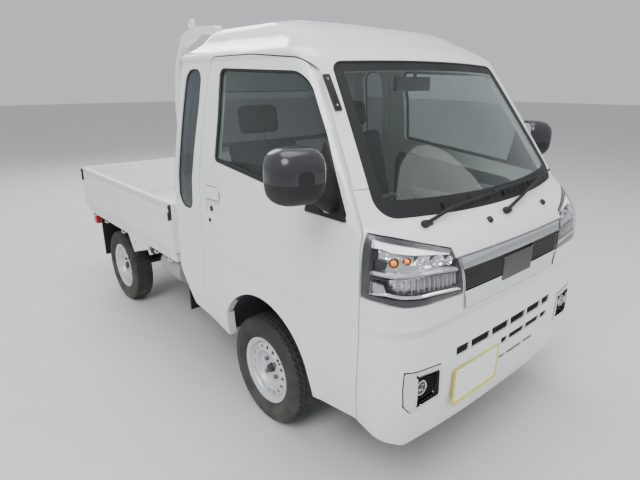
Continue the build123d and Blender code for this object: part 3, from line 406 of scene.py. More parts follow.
WINDSCREEN = Glass("windscreen_glass", (0.62, 0.68, 0.66))
DOOR_GLASS = Glass("door_glass", (0.5, 0.56, 0.54))
DARK_GLASS = Glass("dark_glass", (0.08, 0.09, 0.095))
LAMP_CLEAR = Glass("lamp_clear", (0.97, 0.975, 0.98), index=1.22)


CORNERS = ("front_right", "front_left", "rear_right", "rear_left")
# The CAD nodes that each finish covers
CAD_DRESS: dict[Surface, tuple[str, ...]] = {
    BODY_WHITE: (
        "cab_sides", "roof", "cab_back", "front_panel", "front_bumper", "door_right", "door_left",
        "guard_posts", "guard_bars",
    ),
    BED_WHITE: (
        "bed_floor", "headboard", "side_gate_right", "side_gate_left", "tailgate", "rear_panel",
        "gussets",
    ),
    CHASSIS_BLACK: (
        "frame", "fuel_tank", "propshaft", "rear_axle", "leaf_springs", "front_suspension",
    ),
    TRIM_BLACK: ("fog_lamps", "wipers", "mud_flaps", "splash_shield"),
    CABIN_DARK: ("cab_floor", "dashboard", "steering_wheel", "steering_column", "room_mirror"),
    BARE_METAL: ("engine", "knuckle_right", "knuckle_left"),
    MIRROR_BLACK: ("mirror_right", "mirror_left"),
    TYRE_RUBBER: tuple(f"tyre_{corner}" for corner in CORNERS),
    WHEEL_SILVER: tuple(f"rim_{corner}" for corner in CORNERS),
    CHROME: ("grille",),
    SEAT_CLOTH: ("seats",),
    LAMP_RED: ("tail_lamps",),
    GREY_PLASTIC: ("side_box",),
    EXHAUST_STEEL: ("exhaust",),
    LAMP_CLEAR: ("headlamps",),
    WINDSCREEN: ("windscreen",),
    DARK_GLASS: ("fixed_glass",),
    DOOR_GLASS: ("door_glass_right", "door_glass_left"),
}


def dress_cad() -> None:
    """Give every CAD node its finish."""
    for finish, names in CAD_DRESS.items():
        for name in names:
            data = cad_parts[name].data
            data.materials.clear()
            data.materials.append(finish.material())
            LOG.info("dressed %s with %s", name, finish.name)


# Mesh building

Ray = Callable[[float, float], tuple[Vector, Vector]]
UP = Vector((0.0, 0.0, 1.0))
THINNEST = 1e-5
MERGE = 2e-5
# a moulding's chamfer against its smaller side
CHAMFER = 0.3


def put(name: str, data: bpy.types.ID) -> bpy.types.Object:
    """Make an object of some data and link it to the scene."""
    made = bpy.data.objects.new(name, data)
    bpy.context.scene.collection.objects.link(made)
    return made


def rounded(corners: Sequence[Flat], radius: float, steps: int = 4) -> list[Flat]:
    """Round a closed outline's corners.

    Args:
        corners: The outline's corners in order.
        radius: How far each corner is cut back along its edges.
        steps: How many pieces each corner has.

    Returns:
        The rounded outline.
    """
    out = []
    for index, corner in enumerate(corners):
        here = Vector(corner)
        before, after = (Vector(corners[(index + side) % len(corners)]) for side in (-1, 1))
        reach = min(radius, 0.45 * (before - here).length, 0.45 * (after - here).length)
        start = here + (before - here).normalized() * reach
        end = here + (after - here).normalized() * reach
        for step in range(steps + 1):
            t = step / steps
            spot = start * (1 - t) ** 2 + here * (2 * t * (1 - t)) + end * t**2
            out.append(tuple(spot))
    return out


def dense(path: Path, step: float, loop: bool = False) -> list[Vector]:
    """Add points to a path so that no run is longer than a step.

    Args:
        path: Points in order.
        step: The longest run.
        loop: Whether the last point joins the first.

    Returns:
        The finer path.
    """
    points = [Vector(point) for point in path]
    ends = points[1:] + ([points[0]] if loop else [])
    out = []
    for start, end in zip(points, ends):
        count = max(1, math.ceil((end - start).length / step))
        out += [start.lerp(end, index / count) for index in range(count)]
    return out if loop else out + [points[-1]]


def within(spot: Vector, ring: Sequence[Vector]) -> bool:
    """Say whether a flat point lies inside a closed outline.

    Args:
        spot: The point.
        ring: The outline's points in order.

    Returns:
        True when it is inside.
    """
    inside = False
    for a, b in zip(ring, [*ring[1:], ring[0]]):
        if (a.y > spot.y) != (b.y > spot.y):
            crossing = a.x + (spot.y - a.y) / (b.y - a.y) * (b.x - a.x)
            inside = inside != (spot.x < crossing)
    return inside


def rectangle(u0: float, u1: float, v0: float, v1: float, radius: float, steps: int = 4) -> list[Flat]:
    """Return the rounded outline of the rectangle from (u0, v0) to (u1, v1)."""
    return rounded(((u0, v0), (u1, v0), (u1, v1), (u0, v1)), radius, steps)


def around(middle: Vector, across: Vector, over: Vector, radius: float, steps: int) -> list[Vector]:
    """Return a ring of points that starts across from its middle and turns toward over."""
    turns = [2 * math.pi * step / steps for step in range(steps)]
    return [middle + (across * math.cos(a) + over * math.sin(a)) * radius for a in turns]


class Shape:
    """Gathers the faces of one piece, then makes it an object that rides on a body."""

    def __init__(self) -> None:
        """Start with no face."""
        self.points: list[Vector] = []
        self.faces: list[tuple[int, ...]] = []

    def add(self, points: Path, faces: Sequence[Sequence[int]]) -> "Shape":
        """Add points and the faces between them.

        Args:
            points: The new points.
            faces: Index tuples into the new points.

        Returns:
            The shape itself.
        """
        start = len(self.points)
        self.points += [Vector(point) for point in points]
        self.faces += [tuple(start + index for index in face) for face in faces]
        return self

    def rings(self, rings: Sequence[Sequence], closed: bool = True, caps: bool = True,
              loop: bool = False) -> "Shape":
        """Join rings of points that have the same count.

        Args:
            rings: The rings in order.
            closed: Whether each ring closes on itself.
            caps: Whether the first and last ring are filled.
            loop: Whether the last ring joins the first.

        Returns:
            The shape itself.
        """
        count = len(rings[0])
        faces = []
        for ring in range(len(rings) if loop else len(rings) - 1):
            a, b = ring * count, (ring + 1) % len(rings) * count
            for index in range(count if closed else count - 1):
                after = (index + 1) % count
                faces.append((a + index, a + after, b + after, b + index))
        if caps and not loop:
            faces.append(tuple(reversed(range(count))))
            faces.append(tuple(range(count * (len(rings) - 1), count * len(rings))))
        return self.add([point for ring in rings for point in ring], faces)

    def tube(self, path: Path, radius: float, sides: int = 12) -> "Shape":
        """Sweep a round section along a path.

        Args:
            path: Points in order.
            radius: The section's radius.
            sides: How many sides it has.

        Returns:
            The shape itself.
        """
        points = [Vector(point) for point in path]
        rings = []
        for index, here in enumerate(points):
            ahead = points[min(index + 1, len(points) - 1)] - points[max(index - 1, 0)]
            across = ahead.cross(UP)
            across = (across if across.length > 1e-6 else ahead.cross(Vector((1, 0, 0)))).normalized()
            over = across.cross(ahead).normalized()
            rings.append(around(here, across, over, radius, sides))
        return self.rings(rings)

    def turned(self, profile: Sequence[Flat], place: Sequence[float], axis: Sequence[float],
               steps: int = 32, closed: bool = False) -> "Shape":
        """Turn a profile of (radius, along) pairs about an axis.

        Args:
            profile: The pairs in order.
            place: A point on the axis, where along is 0.
            axis: The axis's direction.
            steps: How many steps make a turn.
            closed: Whether the profile's last pair joins its first.

        Returns:
            The shape itself.
        """
        line = Vector(axis).normalized()
        across = line.orthogonal().normalized()
        over = line.cross(across)
        rings = [
            around(Vector(place) + line * along, across, over, max(radius, THINNEST), steps)
            for radius, along in profile
        ]
        return self.rings(rings, loop=closed)

    def block(self, centre: Sequence[float], size: Sequence[float], corner: float,
              turn: Matrix | None = None) -> "Shape":
        """Add a block with rounded edges.

        Args:
            centre: The block's middle.
            size: Its length along X, Y and Z.
            corner: Its edges' radius.
            turn: A rotation about the middle.

        Returns:
            The shape itself.
        """
        half = [length / 2 for length in size]
        corner = min(corner, *(0.9 * length for length in half))
        rings = []
        for rise, inset in ((0.0, 1.0), (0.3, 0.3), (1.0, 0.0)):
            rings.append((-half[2] + corner * rise, corner * inset))
        rings += [(-z, inset) for z, inset in reversed(rings)]
        solid = []
        for z, inset in rings:
            a, b = half[0] - inset, half[1] - inset
            outline = rectangle(-a, a, -b, b, corner, 3)
            spots = [Vector((x, y, z)) for x, y in outline]
            solid.append([Vector(centre) + (turn @ spot if turn else spot) for spot in spots])
        return self.rings(solid)

    def slab(self, outline: Path, push: Sequence[float]) -> "Shape":
        """Add a flat outline, given thickness along a push.

        Args:
            outline: The outline's points.
            push: From one face to the other.

        Returns:
            The shape itself.
        """
        face = [Vector(point) for point in outline]
        return self.rings([face, [point + Vector(push) for point in face]])

    def reflected(self) -> "Shape":
        """Return the shape on the other side of the vehicle."""
        other = Shape()
        return other.add(
            [(-point.x, point.y, point.z) for point in self.points],
            [tuple(reversed(face)) for face in self.faces],
        )

    def twin(self) -> "Shape":
        """Add the mirror image to the shape."""
        other = self.reflected()
        return self.add(other.points, other.faces)

    def moved(self, change: Matrix) -> "Shape":
        """Return the shape after a change of place."""
        return Shape().add([change @ point for point in self.points], self.faces)

    def piece(self, name: str, finish: Surface, body: str = "chassis", bevel: float = 0.0,
              angle: float = 35.0) -> bpy.types.Object:
        """Make the object, give it its finish and let it ride on a body.

        Args:
            name: The object's name.
            finish: What it is made of.
            body: The body that it rides on.
            bevel: The width of a bevel on its sharp edges.
            angle: Edges sharper than this many degrees stay sharp.

        Returns:
            The new object.
        """
        mesh = bpy.data.meshes.new(name)
        mesh.from_pydata([tuple(point) for point in self.points], [], self.faces)
        work = bmesh.new()
        work.from_mesh(mesh)
        bmesh.ops.remove_doubles(work, verts=work.verts, dist=MERGE)
        bmesh.ops.recalc_face_normals(work, faces=work.faces)
        if bevel:
            limit = math.radians(angle)
            sharp = [
                edge for edge in work.edges
                if len(edge.link_faces) == 2 and edge.calc_face_angle() > limit
            ]
            bmesh.ops.bevel(work, geom=sharp, offset=bevel, segments=2, profile=0.5, affect="EDGES")
        work.to_mesh(mesh)
        work.free()
        mesh.shade_smooth()
        mesh.set_sharp_from_angle(angle=math.radians(angle))
        mesh.materials.append(finish.material())
        made = put(name, mesh)
        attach(made, body)
        LOG.info("made %s with %d faces", name, len(mesh.polygons))
        return made

    def both(self, name: str, finish: Surface, body: str, **how: float) -> None:
        """Make the piece on the right body and its mirror image on the left one.

        Args:
            name: The objects' name, without its side.
            finish: What the pieces are made of.
            body: The bodies' name, without its side.
            **how: Further settings of the piece.
        """
        self.piece(f"{name}_right", finish, f"{body}_right", **how)
        self.reflected().piece(f"{name}_left", finish, f"{body}_left", **how)


class Chart:
    """Lays flat (u, v) sketches on the surface of CAD nodes, by rays."""

    def __init__(self, nodes: Sequence[str], ray: Ray, scale: float = 1.0) -> None:
        """Gather the nodes' faces.

        Args:
            nodes: Which nodes the rays may meet.
            ray: Gives the start and direction of the ray for u and v.
            scale: Metres for one step of u.
        """
        points: list[Vector] = []
        faces: list[tuple[int, ...]] = []
        for name in nodes:
            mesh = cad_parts[name].data
            start = len(points)
            points += [vertex.co.copy() for vertex in mesh.vertices]
            faces += [tuple(start + index for index in face.vertices) for face in mesh.polygons]
        self.tree = BVHTree.FromPolygons(points, faces)
        self.ray = ray
        self.scale = scale

    def at(self, u: float, v: float, depth: float = 0.0) -> Vector:
        """Find where the ray for u and v meets the surface.

        Args:
            u: First coordinate.
            v: Second coordinate.
            depth: How far below the surface, along the ray.

        Returns:
            The place.
        """
        start, toward = self.ray(u, v)
        place = self.tree.ray_cast(start, toward)[0]
        if place is None:
            place = self.tree.find_nearest(start)[0]
        return place + toward * depth

    def strip(self, shape: Shape, path: Sequence[Flat], across: Flat, depth: Flat,
              loop: bool = False, step: float = 0.012) -> Shape:
        """Lay a moulding with chamfered edges along a path.

        Args:
            shape: Where the faces go.
            path: The path's (u, v) points.
            across: From where to where it reaches beside the path, left positive, in metres.
            depth: Its top and its foot below the surface.
            loop: Whether the path is closed.
            step: The longest run between two sections.

        Returns:
            The shape itself.
        """
        flat = dense([(u * self.scale, v) for u, v in path], step, loop)
        top, foot = depth
        chamfer = CHAMFER * min(abs(across[1] - across[0]), abs(foot - top))
        section = moulded(across, foot, top, chamfer)
        rings = []
        for index, here in enumerate(flat):
            before = flat[index - 1] if loop or index else here
            after = flat[(index + 1) % len(flat)] if loop or index + 1 < len(flat) else here
            first, second = (here - before), (after - here)
            runs = [run.normalized() for run in (first, second) if run.length > 1e-9]
            sides = [Vector((-run.y, run.x)) for run in runs]
            lean = sum(sides, Vector((0.0, 0.0))).normalized()
            lean /= max(0.6, lean.dot(sides[0]))
            rings.append([
                self.at((here + lean * offset).x / self.scale, (here + lean * offset).y, sunk)
                for offset, sunk in section
            ])
        return shape.rings(rings, loop=loop)

    def patch(self, shape: Shape, outline: Sequence[Flat], depth: Flat,
              holes: Sequence[Sequence[Flat]] = (), step: float = 0.02,
              relief: Callable[[float, float], float] | None = None) -> Shape:
        """Lay a filled panel.

        Args:
            shape: Where the faces go.
            outline: The panel's (u, v) outline.
            depth: Its top and its foot below the surface.
            holes: Outlines of its holes.
            step: The longest run between two points.
            relief: Adds to both depths at a (u, v) point.

        Returns:
            The shape itself.
        """
        lines = [
            dense([(u * self.scale, v) for u, v in ring], step, loop=True)
            for ring in (outline, *holes)
        ]
        places, faces = self.filled(lines, step)
        used = sorted({index for face in faces for index in face})
        order = {index: place for place, index in enumerate(used)}
        tops, feet = [], []
        for index in used:
            u, v = places[index].x / self.scale, places[index].y
            lift = relief(u, v) if relief else 0.0
            tops.append(self.at(u, v, depth[0] + lift))
            feet.append(self.at(u, v, depth[1] + lift))
        count = len(used)
        solid = []
        sides: dict[tuple[int, int], int] = {}
        for face in faces:
            corners = [order[index] for index in face]
            solid += [tuple(corners), tuple(count + index for index in reversed(corners))]
            for a, b in zip(corners, corners[1:] + corners[:1]):
                sides[(a, b)] = 1
        solid += [(b, a, count + a, count + b) for a, b in sides if (b, a) not in sides]
        return shape.add(tops + feet, solid)

    @staticmethod
    def filled(lines: Sequence[Sequence[Vector]], step: float) -> tuple[list, list]:
        """Fill a flat outline with an even field of points and the faces between them.

        Args:
            lines: The outline, then its holes.
            step: About how far apart the points come.

        Returns:
            The points, and the faces that lie inside the outline and outside its holes.
        """
        points: list[Vector] = []
        edges: list[tuple[int, int]] = []
        for line in lines:
            start = len(points)
            points += line
            edges += [(start + i, start + (i + 1) % len(line)) for i in range(len(line))]
        low = [min(point[axis] for point in points) for axis in (0, 1)]
        high = [max(point[axis] for point in points) for axis in (0, 1)]
        counts = [max(1, math.ceil((b - a) / step)) for a, b in zip(low, high)]
        for i in range(1, counts[0]):
            for j in range(1, counts[1]):
                shift = 0.5 if j % 2 else 0.0
                spot = Vector((
                    low[0] + (high[0] - low[0]) * (i + shift) / counts[0],
                    low[1] + (high[1] - low[1]) * j / counts[1],
                ))
                if within(spot, lines[0]):
                    points.append(spot)
        found = delaunay_2d_cdt(points, edges, [], 2, 1e-6, False)
        places, faces = found[0], []
        for face in found[2]:
            middle = sum((places[index] for index in face), Vector((0.0, 0.0))) / len(face)
            if within(middle, lines[0]) and not any(within(middle, hole) for hole in lines[1:]):
                faces.append(face)
        return places, faces


def moulded(across: Flat, foot: float, top: float, chamfer: float) -> tuple[Flat, ...]:
    """Return a moulding's section, chamfered at both top corners.

    Args:
        across: From where to where it reaches.
        foot: The height or depth of its foot.
        top: The height or depth of its top.
        chamfer: The chamfer's width.

    Returns:
        The section's (across, height) points.
    """
    near, far = across
    slope, fall = math.copysign(chamfer, far - near), math.copysign(chamfer, foot - top)
    return ((near, foot), (near, top + fall), (near + slope, top),
            (far - slope, top), (far, top + fall), (far, foot))


def along(axis: int, start: float, way: float) -> Ray:
    """Return rays along one axis, whose u and v are the other two.

    Args:
        axis: The axis's number.
        start: Where the rays start on it.
        way: 1 when they run up it, -1 when they run down.

    Returns:
        The function that gives the ray for u and v.
    """
    def ray(u: float, v: float) -> tuple[Vector, Vector]:
        """Return the ray's start and direction."""
        spot, toward = [u, v], [0.0, 0.0]
        spot.insert(axis, start)
        toward.insert(axis, way)
        return Vector(spot), Vector(toward)

    return ray


FROM_FRONT = along(1, -1.78, 1.0)
FROM_REAR = along(1, 1.80, -1.0)
FROM_RIGHT = along(0, -0.84, 1.0)
FROM_INSIDE = along(0, -0.3, -1.0)
FROM_SEATS = along(1, -1.05, -1.0)


CORNER_X, CORNER_Y, CORNER_REACH = -0.4, -1.3, 0.48


def from_corner(u: float, v: float) -> tuple[Vector, Vector]:
    """A ray round the right front corner: u turns in degrees from straight ahead, v is z."""
    turn = math.radians(u)
    out = Vector((-math.sin(turn), -math.cos(turn), 0.0))
    return Vector((CORNER_X, CORNER_Y, v)) + out * CORNER_REACH, -out


def outer_loop(node: str, toward: Sequence[float], where: Callable[[Vector], bool]) -> list[Vector]:
    """Find the edge loop round those faces of a CAD node that look one way.

    Args:
        node: The node's name.
        toward: The way they look.
        where: Says whether a face's middle is in the wanted part.

    Returns:
        The loop's points in order.
    """
    work = bmesh.new()
    work.from_mesh(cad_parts[node].data)
    bmesh.ops.remove_doubles(work, verts=work.verts, dist=MERGE)
    way = Vector(toward)
    picked = {
        face for face in work.faces
        if face.normal.dot(way) > 0.5 and where(face.calc_center_median())
    }
    links: dict[int, list[int]] = {}
    spots: dict[int, Vector] = {}
    for edge in work.edges:
        if sum(face in picked for face in edge.link_faces) == 1:
            a, b = edge.verts
            for here, there in ((a, b), (b, a)):
                links.setdefault(here.index, []).append(there.index)
                spots[here.index] = here.co.copy()
    work.free()
    start = min(spots, key=lambda index: tuple(spots[index]))
    loop, last, here = [start], -1, links[start][0]
    while here != start and len(loop) < len(spots) + 1:
        loop.append(here)
        ahead = [index for index in links[here] if index != last and index != loop[-2]]
        last, here = here, ahead[0] if ahead else start
    return [spots[index] for index in loop]


def even(loop: Sequence[Vector], step: float) -> list[Vector]:
    """Space a closed loop's points evenly.

    Args:
        loop: The loop's points.
        step: About how far apart they come.

    Returns:
        The evenly spaced points.
    """
    runs = [(b - a).length for a, b in zip(loop, [*loop[1:], loop[0]])]
    whole = sum(runs)
    count = max(8, round(whole / step))
    out, index, passed = [], 0, 0.0
    for number in range(count):
        target = whole * number / count
        while passed + runs[index] < target:
            passed += runs[index]
            index += 1
        share = (target - passed) / max(runs[index], 1e-9)
        out.append(loop[index].lerp(loop[(index + 1) % len(loop)], share))
    return out


def edging(shape: Shape, loop: Sequence[Vector], facing: Sequence[float], across: Flat, lift: Flat,
           sink: Callable[[Vector], float] | None = None, pane: Chart | None = None) -> None:
    """Run a moulding round a pane's edge.

    Args:
        shape: Where the faces go.
        loop: The pane's edge.
        facing: The way that the pane looks.
        across: From where to where it reaches inward from the edge.
        lift: Its foot's and its top's height over the pane.
        sink: Widens the inner reach at a place.
        pane: The curved pane that the moulding lies on.
    """
    up = Vector(facing).normalized()
    middle = sum(loop, Vector()) / len(loop)
    near, far = across
    foot, top = lift
    chamfer = CHAMFER * min(far - near, top - foot)
    rings = []
    for index, here in enumerate(loop):
        run = (loop[(index + 1) % len(loop)] - loop[index - 1]).normalized()
        inward = up.cross(run).normalized()
        if inward.dot(middle - here) < 0:
            inward = -inward
        reach = far + (sink(here) if sink else 0.0)
        section = moulded((near, reach), foot, top, chamfer)
        ring = []
        for offset, height in section:
            spot = here + inward * offset
            met = pane.tree.ray_cast(spot + up * 0.08, -up)[0] if pane else None
            ring.append((met if met and (met - spot).length < 0.03 else spot) + up * height)
        rings.append(ring)
    shape.rings(rings, loop=True)


# Front of the cab


LAMP_DARK = Finish("lamp_dark", (0.035, 0.037, 0.042), 0.32, grain=700, depth=0.0001, tone=0.15)
LAMP_GREY = Finish("lamp_grey", (0.4, 0.41, 0.42), 0.25, metallic=0.5, grain=500, tone=0.08)
LAMP_WHITE = Finish("lamp_white", (0.86, 0.88, 0.9), 0.22, coat=0.5, grain=400, tone=0.03)
REFLECTOR = Finish("reflector", (0.86, 0.87, 0.88), 0.12, metallic=1.0, grain=300, depth=0.0001,
                   tone=0.05)
AMBER = Finish("amber_bulb", (0.95, 0.28, 0.02), 0.18, coat=1.0, grain=60, tone=0.15)
SMOKED = Finish("smoked_trim", (0.045, 0.042, 0.038), 0.4, grain=500, tone=0.15)
MIRROR_FACE = Finish("mirror_face", (0.75, 0.8, 0.84), 0.03, metallic=1.0, grain=50, tone=0.03)
PLATE_YELLOW = Finish("plate_yellow", (0.72, 0.62, 0.01), 0.4, coat=0.2, grain=400, tone=0.06)
PLATE_WHITE = Finish("plate_white", (0.88, 0.88, 0.87), 0.42, coat=0.2, grain=400, tone=0.03)
PLATE_SIZE = (0.33, 0.165)


@dataclass
class Headlamps:
    """Clear lenses over dark housings with bright reflectors, wrapped round the front corners.

    Outlines and paths are turns in degrees from straight ahead, and heights.
    """

    radius: float = 0.38
    lens_thick: float = 0.0025
    top_rim: Line = (
        (58.4, 1.1135), (55.8, 1.116), (44.7, 1.1035), (30.6, 1.0815), (15.0, 1.0565), (5.6, 1.04),
        (6.0, 1.029), (15.0, 1.0435), (27.3, 1.0635), (41.7, 1.0855), (54.4, 1.1025), (58.4, 1.1025),
    )
    low_rim: Line = (
        (-1.6, 0.8735), (22.0, 0.8775), (38.0, 0.88), (47.7, 0.8905), (58.4, 0.8955), (58.4, 0.911),
        (54.6, 0.909), (39.4, 0.9025), (22.8, 0.895), (-1.4, 0.8785),
    )
    band: Line = ((54.6, 1.103), (58.5, 1.103), (58.5, 0.9105), (54.6, 0.9085))
    # the lens's middle, and its size against the solid lamp's
    middle: Flat = (28.0, 0.985)
    shrink: float = 0.985
    loop_step: float = 0.006
    # the housing's floor sinks over some degrees beside the outer band
    floor_depth: float = 0.046
    floor_thick: float = 0.004
    floor_gap: float = 0.006
    floor_slope: float = 6.0
    facing: Point = (-0.6, -0.8, 0.0)
    white_strip: Line = (
        (54.3, 1.101), (41.7, 1.084), (27.3, 1.062), (6.4, 1.03),
        (5.6, 1.0215), (31.4, 1.046), (44.3, 1.0605), (48.4, 1.07), (54.4, 1.0745),
    )
    reflector: Line = (
        (54.2, 1.072), (44.3, 1.058), (31.4, 1.043), (5.4, 1.018), (1.8, 0.975), (28.0, 0.992),
        (42.0, 0.99), (54.4, 0.996),
    )
    lower: Line = (
        (45.0, 0.966), (28.0, 0.973), (1.0, 0.945), (-0.4, 0.894), (23.0, 0.914), (39.5, 0.92),
        (45.0, 0.934),
    )
    rib: Line = ((54.6, 0.988), (42.0, 0.982), (28.0, 0.986), (1.4, 0.963))
    low_chrome: Line = (
        (54.5, 0.914), (46.5, 0.9195), (39.5, 0.912), (23.0, 0.906), (-1.2, 0.886),
    )
    dark_line: Line = (
        (54.5, 0.974), (46.2, 0.968), (44.2, 0.938), (41.7, 0.927), (30.5, 0.925), (-0.4, 0.898),
    )
    square: Line = ((52.2, 1.034), (47.2, 1.036), (47.0, 1.003), (52.0, 0.999))
    wedge: Line = ((54.5, 0.958), (47.6, 0.95), (46.4, 0.929), (54.4, 0.921))
    # top and foot of each part below the lens
    rim_depth: Flat = (0.003, 0.012)
    band_depth: Flat = (0.003, 0.006)
    strip_depth: Flat = (0.009, 0.018)
    reflector_depth: Flat = (0.034, 0.04)
    lower_depth: Flat = (0.026, 0.032)
    low_chrome_depth: Flat = (0.006, 0.026)
    rib_depth: Flat = (0.008, 0.036)
    wedge_depth: Flat = (0.01, 0.018)
    fin_depth: Flat = (0.012, 0.03)
    line_depth: Flat = (0.01, 0.03)
    square_depth: Flat = (0.014, 0.03)
    fins: int = 12
    fin_from: float = 41.0
    fin_pitch: float = 3.4
    fin_foot: float = 0.922
    fin_head: float = 0.968
    # u, z, radius and whether the bulb is amber
    bowls: tuple[tuple[float, float, float, bool], ...] = (
        (43.0, 1.025, 0.019, True), (36.2, 1.029, 0.016, True), (27.0, 1.019, 0.025, False),
        (15.5, 1.008, 0.023, False), (6.0, 0.998, 0.018, False),
    )

    def outline(self) -> list[Flat]:
        """Return the CAD lamp's own outline as turns and heights."""
        loop = outer_loop("headlamps", self.facing, lambda spot: spot.x < 0)
        turns = [
            (math.degrees(math.atan2(-(spot.x - CORNER_X), -(spot.y - CORNER_Y))), spot.z)
            for spot in even(loop, self.loop_step)
        ]
        middle_u, middle_z = self.middle
        turns.sort(key=lambda t: math.atan2((t[1] - middle_z) * 150, t[0] - middle_u))
        keep = self.shrink
        return [(middle_u + (u - middle_u) * keep, middle_z + (z - middle_z) * keep) for u, z in turns]

    def build(self) -> None:
        """Build both lamps."""
        chart = Chart(["headlamps"], from_corner, scale=math.radians(self.radius))
        self.shell(chart, self.outline())
        self.reflectors(chart)
        self.trim(chart)
        self.bulbs(chart)

    def shell(self, chart: Chart, edge: Sequence[Flat]) -> None:
        """Build the lenses, their dark housings and rims, and the white strips.

        Args:
            chart: The chart of the lamp's outer face.
            edge: The lens's outline.
        """
        lens = chart.patch(Shape(), edge, (0.0, self.lens_thick), step=0.014)
        made = lens.twin().piece("headlamp_lens", LAMP_CLEAR)
        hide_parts("headlamps")
        band_from = self.band[0][0]

        def sunk(u: float, _v: float) -> float:
            """Return the floor's depth at a turn."""
            share = min(1.0, max(0.0, (band_from - u) / self.floor_slope))
            return self.floor_depth * share

        depth = (self.floor_gap, self.floor_gap + self.floor_thick)
        floor = chart.patch(Shape(), edge, depth, step=0.012, relief=sunk)
        inner = [spot for spot in edge if spot[0] < band_from - 1.0]
        split = max(range(len(inner)), key=lambda i: abs(inner[i][0] - inner[i - 1][0]))
        ordered = inner[split:] + inner[:split]
        chart.strip(floor, ordered, (0.0, 0.002), (0.003, self.floor_depth + 0.008))
        floor.twin().piece("headlamp_housing", LAMP_DARK)
        rims = Shape()
        for outline in (self.top_rim, self.low_rim):
            chart.patch(rims, outline, self.rim_depth, step=0.01)
        chart.patch(rims, self.band, self.band_depth)
        rims.twin().piece("headlamp_rims", LAMP_DARK)
        white = chart.patch(Shape(), self.white_strip, self.strip_depth, step=0.01)
        white.twin().piece("headlamp_strip", LAMP_WHITE)

    def reflectors(self, chart: Chart) -> None:
        """Build the faceted reflectors, their bowls and the chrome below them."""
        bright = Shape()
        chart.patch(bright, self.reflector, self.reflector_depth, step=0.006, relief=self.facet)
        chart.patch(bright, self.lower, self.lower_depth, step=0.006, relief=self.facet)
        chart.strip(bright, self.low_chrome, (-0.007, 0.007), self.low_chrome_depth)
        for u, z, radius, _ in self.bowls:
            place = chart.at(u, z, self.reflector_depth[0])
            axis = (place - chart.at(u, z, 0.0)).normalized()
            bowl = ((0.005, 0.006), (radius * 0.6, 0.0), (radius, -0.014), (radius + 0.001, -0.014),
                    (radius * 0.65, 0.004), (0.005, 0.009))
            bright.turned(bowl, place, axis, steps=28, closed=True)
        bright.twin().piece("headlamp_reflectors", REFLECTOR, angle=12)

    def trim(self, chart: Chart) -> None:
        """Build the grey ribs and fins, and the dark lines between them."""
        grey = Shape()
        chart.strip(grey, self.rib, (-0.0075, 0.0075), self.rib_depth)
        chart.patch(grey, self.wedge, self.wedge_depth)
        for index in range(self.fins):
            u = self.fin_from - self.fin_pitch * index
            fin = ((u, self.fin_foot - 0.0009 * index), (u, self.fin_head - 0.0004 * abs(28 - u)))
            chart.strip(grey, fin, (-0.0016, 0.0016), self.fin_depth)
        grey.twin().piece("headlamp_ribs", LAMP_GREY)
        dark = Shape()
        chart.strip(dark, self.dark_line, (-0.003, 0.003), self.line_depth)
        chart.patch(dark, self.square, self.square_depth)
        dark.twin().piece("headlamp_dark", TRIM_BLACK)

    def bulbs(self, chart: Chart) -> None:
        """Build the amber bulbs and the bright lamp caps."""
        for amber, finish in ((True, AMBER), (False, REFLECTOR)):
            bulbs = Shape()
            for u, z, radius, colored in self.bowls:
                if colored is not amber:
                    continue
                place = chart.at(u, z, self.reflector_depth[0])
                out = (chart.at(u, z, 0.0) - place).normalized()
                size = radius * (0.62 if amber else 0.3)
                bulb = [(size * math.cos(a), size * 1.2 * (1 + math.sin(a)))
                        for a in (math.pi * (step / 8 - 0.5) for step in range(9))]
                bulbs.turned(bulb, place, out, steps=16)
            bulbs.twin().piece(f"headlamp_bulbs_{finish.name}", finish)

    @staticmethod
    def facet(u: float, v: float) -> float:
        """Return the relief of the cut reflector at a turn and height."""
        return 0.0016 * abs(math.sin(u * 1.9)) + 0.0012 * abs(math.sin(v * 420.0))


